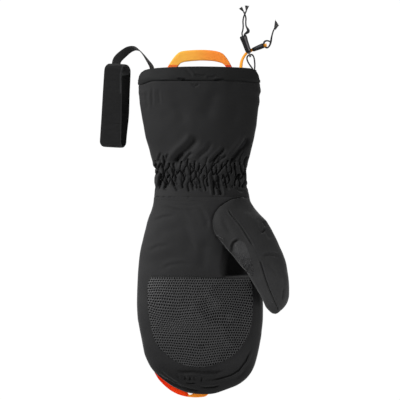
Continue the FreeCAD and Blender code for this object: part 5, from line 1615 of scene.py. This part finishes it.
def polystrip(name, rails, thick, mats, z=None, rows_per=6, ncross=10):
    """Webbing given by its two edges [(x1, y1, z1, x2, y2, z2, mat), ...] in mm."""
    R = np.array([r[:6] for r in rails], float)
    A_, B_ = R[:, :3], R[:, 3:]
    n = (len(rails) - 1) * rows_per + 1
    t = np.linspace(0, 1, n)
    A2, B2 = resample(A_, t), resample(B_, t)
    c = np.linspace(0, 1, ncross)
    G = A2[:, None] * (1 - c)[None, :, None] + B2[:, None] * c[None, :, None]
    nrm = normals(G)
    if np.mean(nrm[..., 2]) < 0:
        nrm = -nrm
    edge = 1 - 0.4 * np.abs(2 * c - 1) ** 8
    top_ = G + nrm * (thick / 2 * edge)[None, :, None]
    low_ = G - nrm * (thick / 2 * edge)[None, :, None]
    F = np.concatenate([top_, low_[:, ::-1]], 1)
    nv, nu = F.shape[:2]
    faces = grid_faces(nv, nu, 0, True, False)
    faces.append(tuple(range(nu))[::-1])
    faces.append(tuple((nv - 1) * nu + j for j in range(nu)))
    o = link(name, F.reshape(-1, 3) * MM, faces, mats[0])
    for m in mats[1:]:
        o.data.materials.append(m)
    return o, (nv, nu)


def P3(q, z):
    a = px(np.array(q, float))
    return (float(a[0]), float(a[1]), z)


def rail(o_, i_, zo, zi):
    return (*P3(o_, zo), *P3(i_, zi))


zl = 6.7
pull_rails = [
    rail((166.6, 68.6), (176.6, 69.2), zl, zl), rail((167.9, 66.3), (177.6, 67.0), zl, zl + 0.4), rail((170.0, 62.8), (178.8, 65.2), zl, zl + 0.5),
    rail((173.2, 58.2), (180.6, 63.2), zl, zl + 0.3), rail((176.6, 54.2), (183.8, 62.0), zl, zl), rail((181.0, 51.3), (188.4, 61.3), zl, zl),
    rail((190.0, 50.1), (194.0, 60.8), zl, zl), rail((200.0, 49.7), (201.5, 60.4), zl + 0.2, zl), rail((208.0, 49.9), (207.5, 60.6), zl, zl),
    rail((216.5, 51.0), (213.4, 61.0), zl, zl), rail((222.4, 53.2), (218.4, 62.0), zl, zl), rail((226.0, 56.8), (222.2, 63.2), zl, zl + 0.3),
    rail((228.6, 60.6), (224.8, 65.2), zl, zl + 0.4), rail((230.6, 64.2), (225.8, 67.2), zl, zl + 0.4), rail((231.9, 66.6), (226.0, 68.0), zl, zl),
    rail((232.9, 68.6), (226.3, 69.6), zl, zl)]
pull_o, (pnv, pnu) = polystrip("pull_loop_web", pull_rails, 1.3, [MAT["orange"], MAT["orange_hot"]], rows_per=8)
for p in pull_o.data.polygons:
    c = p.center / MM
    if c.y < 247.8:
        p.material_index = 1
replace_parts(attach(pull_o, "pull_loop"), "pull_loop")

tip_rails = [
    rail((152.8, 368.6), (161.0, 366.0), 1.6, 4.2), rail((155.2, 374.1), (163.6, 370.6), 1.2, 3.4), rail((158.8, 379.9), (166.6, 374.6), 1.0, 2.4),
    rail((163.7, 385.1), (170.6, 378.6), 0.9, 1.8), rail((169.6, 390.1), (175.6, 382.2), 0.9, 1.5), rail((176.4, 394.0), (181.6, 385.6), 0.9, 1.3),
    rail((182.8, 396.2), (186.0, 389.0), 1.0, 1.3), rail((188.0, 397.2), (188.6, 394.6), 1.2, 1.5), rail((192.0, 397.6), (192.0, 394.6), 1.2, 1.7),
    rail((195.8, 397.8), (195.8, 391.0), 1.2, 2.0), rail((200.0, 397.6), (201.0, 391.0), 1.1, 2.0), rail((205.0, 396.9), (204.8, 391.0), 1.0, 2.0), rail((208.0, 394.8), (206.6, 390.6), 1.2, 2.6)]
tip_o, _ = polystrip("tip_loop_web", tip_rails, 1.1, [MAT["red"], MAT["tip_orange"]], rows_per=8)
for p in tip_o.data.polygons:
    if (p.center / MM).x > -13.0:
        p.material_index = 1
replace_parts(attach(tip_o, "tip_loop"), "tip_loop")

# ------------------------------------------------------------------ riding
for o, nodes, sl in ((palm, ("palm_shell",), "shell_fabric"), (back, ("back_shell",), "shell_fabric"), (patch, ("palm_grip_patch",), "grip_rubber"),
                     (grip, (), "grip_rubber"), (memb, ("waterproof_insert",), "membrane"), (fill_t, ("palm_insulation",), "insulation"),
                     (fill_b, ("back_insulation",), "insulation"), (lin_h, ("palm_lining", "back_lining"), "lining"),
                     (st_wrist, (), "shell_fabric"), (st_patch, (), "shell_fabric"), (st_tip, (), "shell_fabric")):
    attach(o, "hand")
    if nodes:
        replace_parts(o, *nodes)
for o, nodes, sl in ((hem, ("cuff_hem_front", "cuff_hem_back"), "cuff_fabric"), (st_hem, (), "cuff_fabric")):
    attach(o, "cuff")
    if nodes:
        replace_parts(o, *nodes)
for o, nodes, sl in ((cuff_f, ("cuff_front_shell", "wrist_gather_front"), "cuff_fabric"), (cuff_b, ("cuff_back_shell", "wrist_gather_back"), "cuff_fabric"),
                     (lin_w, ("cuff_lining", "wrist_lining"), "lining"), (el[0], ("wrist_elastic",), "elastic"), (el[1], (), "elastic"), (el[2], (), "elastic")):
    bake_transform(o)
    if nodes:
        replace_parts(o, *nodes)
for o, nodes, sl in ((thumb_i, ("thumb_inner_shell", "thumb_gusset"), "shell_fabric"), (thumb_o, ("thumb_outer_shell",), "shell_fabric"),
                     (tpatch, ("thumb_grip_patch",), "grip_rubber"), (th_fill, ("thumb_insulation", "gusset_insulation"), "insulation"),
                     (th_lin, ("thumb_lining",), "lining")):
    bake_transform(o)
    if nodes:
        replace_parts(o, *nodes)

# CAD nodes that stay
for node, key in (("wrist_binding", "shell"), ("pull_loop_tabs", "orange"), ("leash_anchor", "strap"), ("drawcord_guide", "hem"),
                  ("lock_core", "core")):
    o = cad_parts[node]
    o.data.materials.clear()
    o.data.materials.append(MAT[key])

# ------------------------------------------------------------------ stage
def plane(name, loc, size, rot=(0, 0, 0)):
    me = bpy.data.meshes.new(name)
    h = size / 2
    me.from_pydata([(-h, -h, 0), (h, -h, 0), (h, h, 0), (-h, h, 0)], [], [(0, 1, 2, 3)])
    o = bpy.data.objects.new(name, me)
    scene.collection.objects.link(o)
    o.location, o.rotation_euler = loc, rot
    return o


floor = plane("floor", (0, 0.1, -0.0006), 30)
fm, fnt, fb = new_mat("floor_white")
fb.inputs["Base Color"].default_value = (0.02, 0.02, 0.02, 1)
fb.inputs["Roughness"].default_value = 0.9
fb.inputs["Specular IOR Level"].default_value = 0.0
fb.inputs["Emission Color"].default_value = (1, 1, 1, 1)
fb.inputs["Emission Strength"].default_value = 1.0
floor.data.materials.append(fm)

world = bpy.data.worlds.new("studio")
scene.world = world
world.use_nodes = True
world.node_tree.nodes["Background"].inputs["Color"].default_value = (1, 1, 1, 1)
world.node_tree.nodes["Background"].inputs["Strength"].default_value = 0.46


def area(name, loc, target, size, energy, size_y=None):
    ld = bpy.data.lights.new(name, "AREA")
    ld.shape = "RECTANGLE"
    ld.size, ld.size_y = size, size_y or size
    ld.energy = energy
    o = bpy.data.objects.new(name, ld)
    scene.collection.objects.link(o)
    o.location = loc
    o.rotation_euler = (Vector(target) - Vector(loc)).to_track_quat("-Z", "Y").to_euler()
    return o


area("key_left", (-1.5, 0.95, 0.95), (0, 0.1, 0), 0.7, 52)
area("fill_right", (1.5, -0.9, 0.75), (0, 0.05, 0), 0.8, 14)
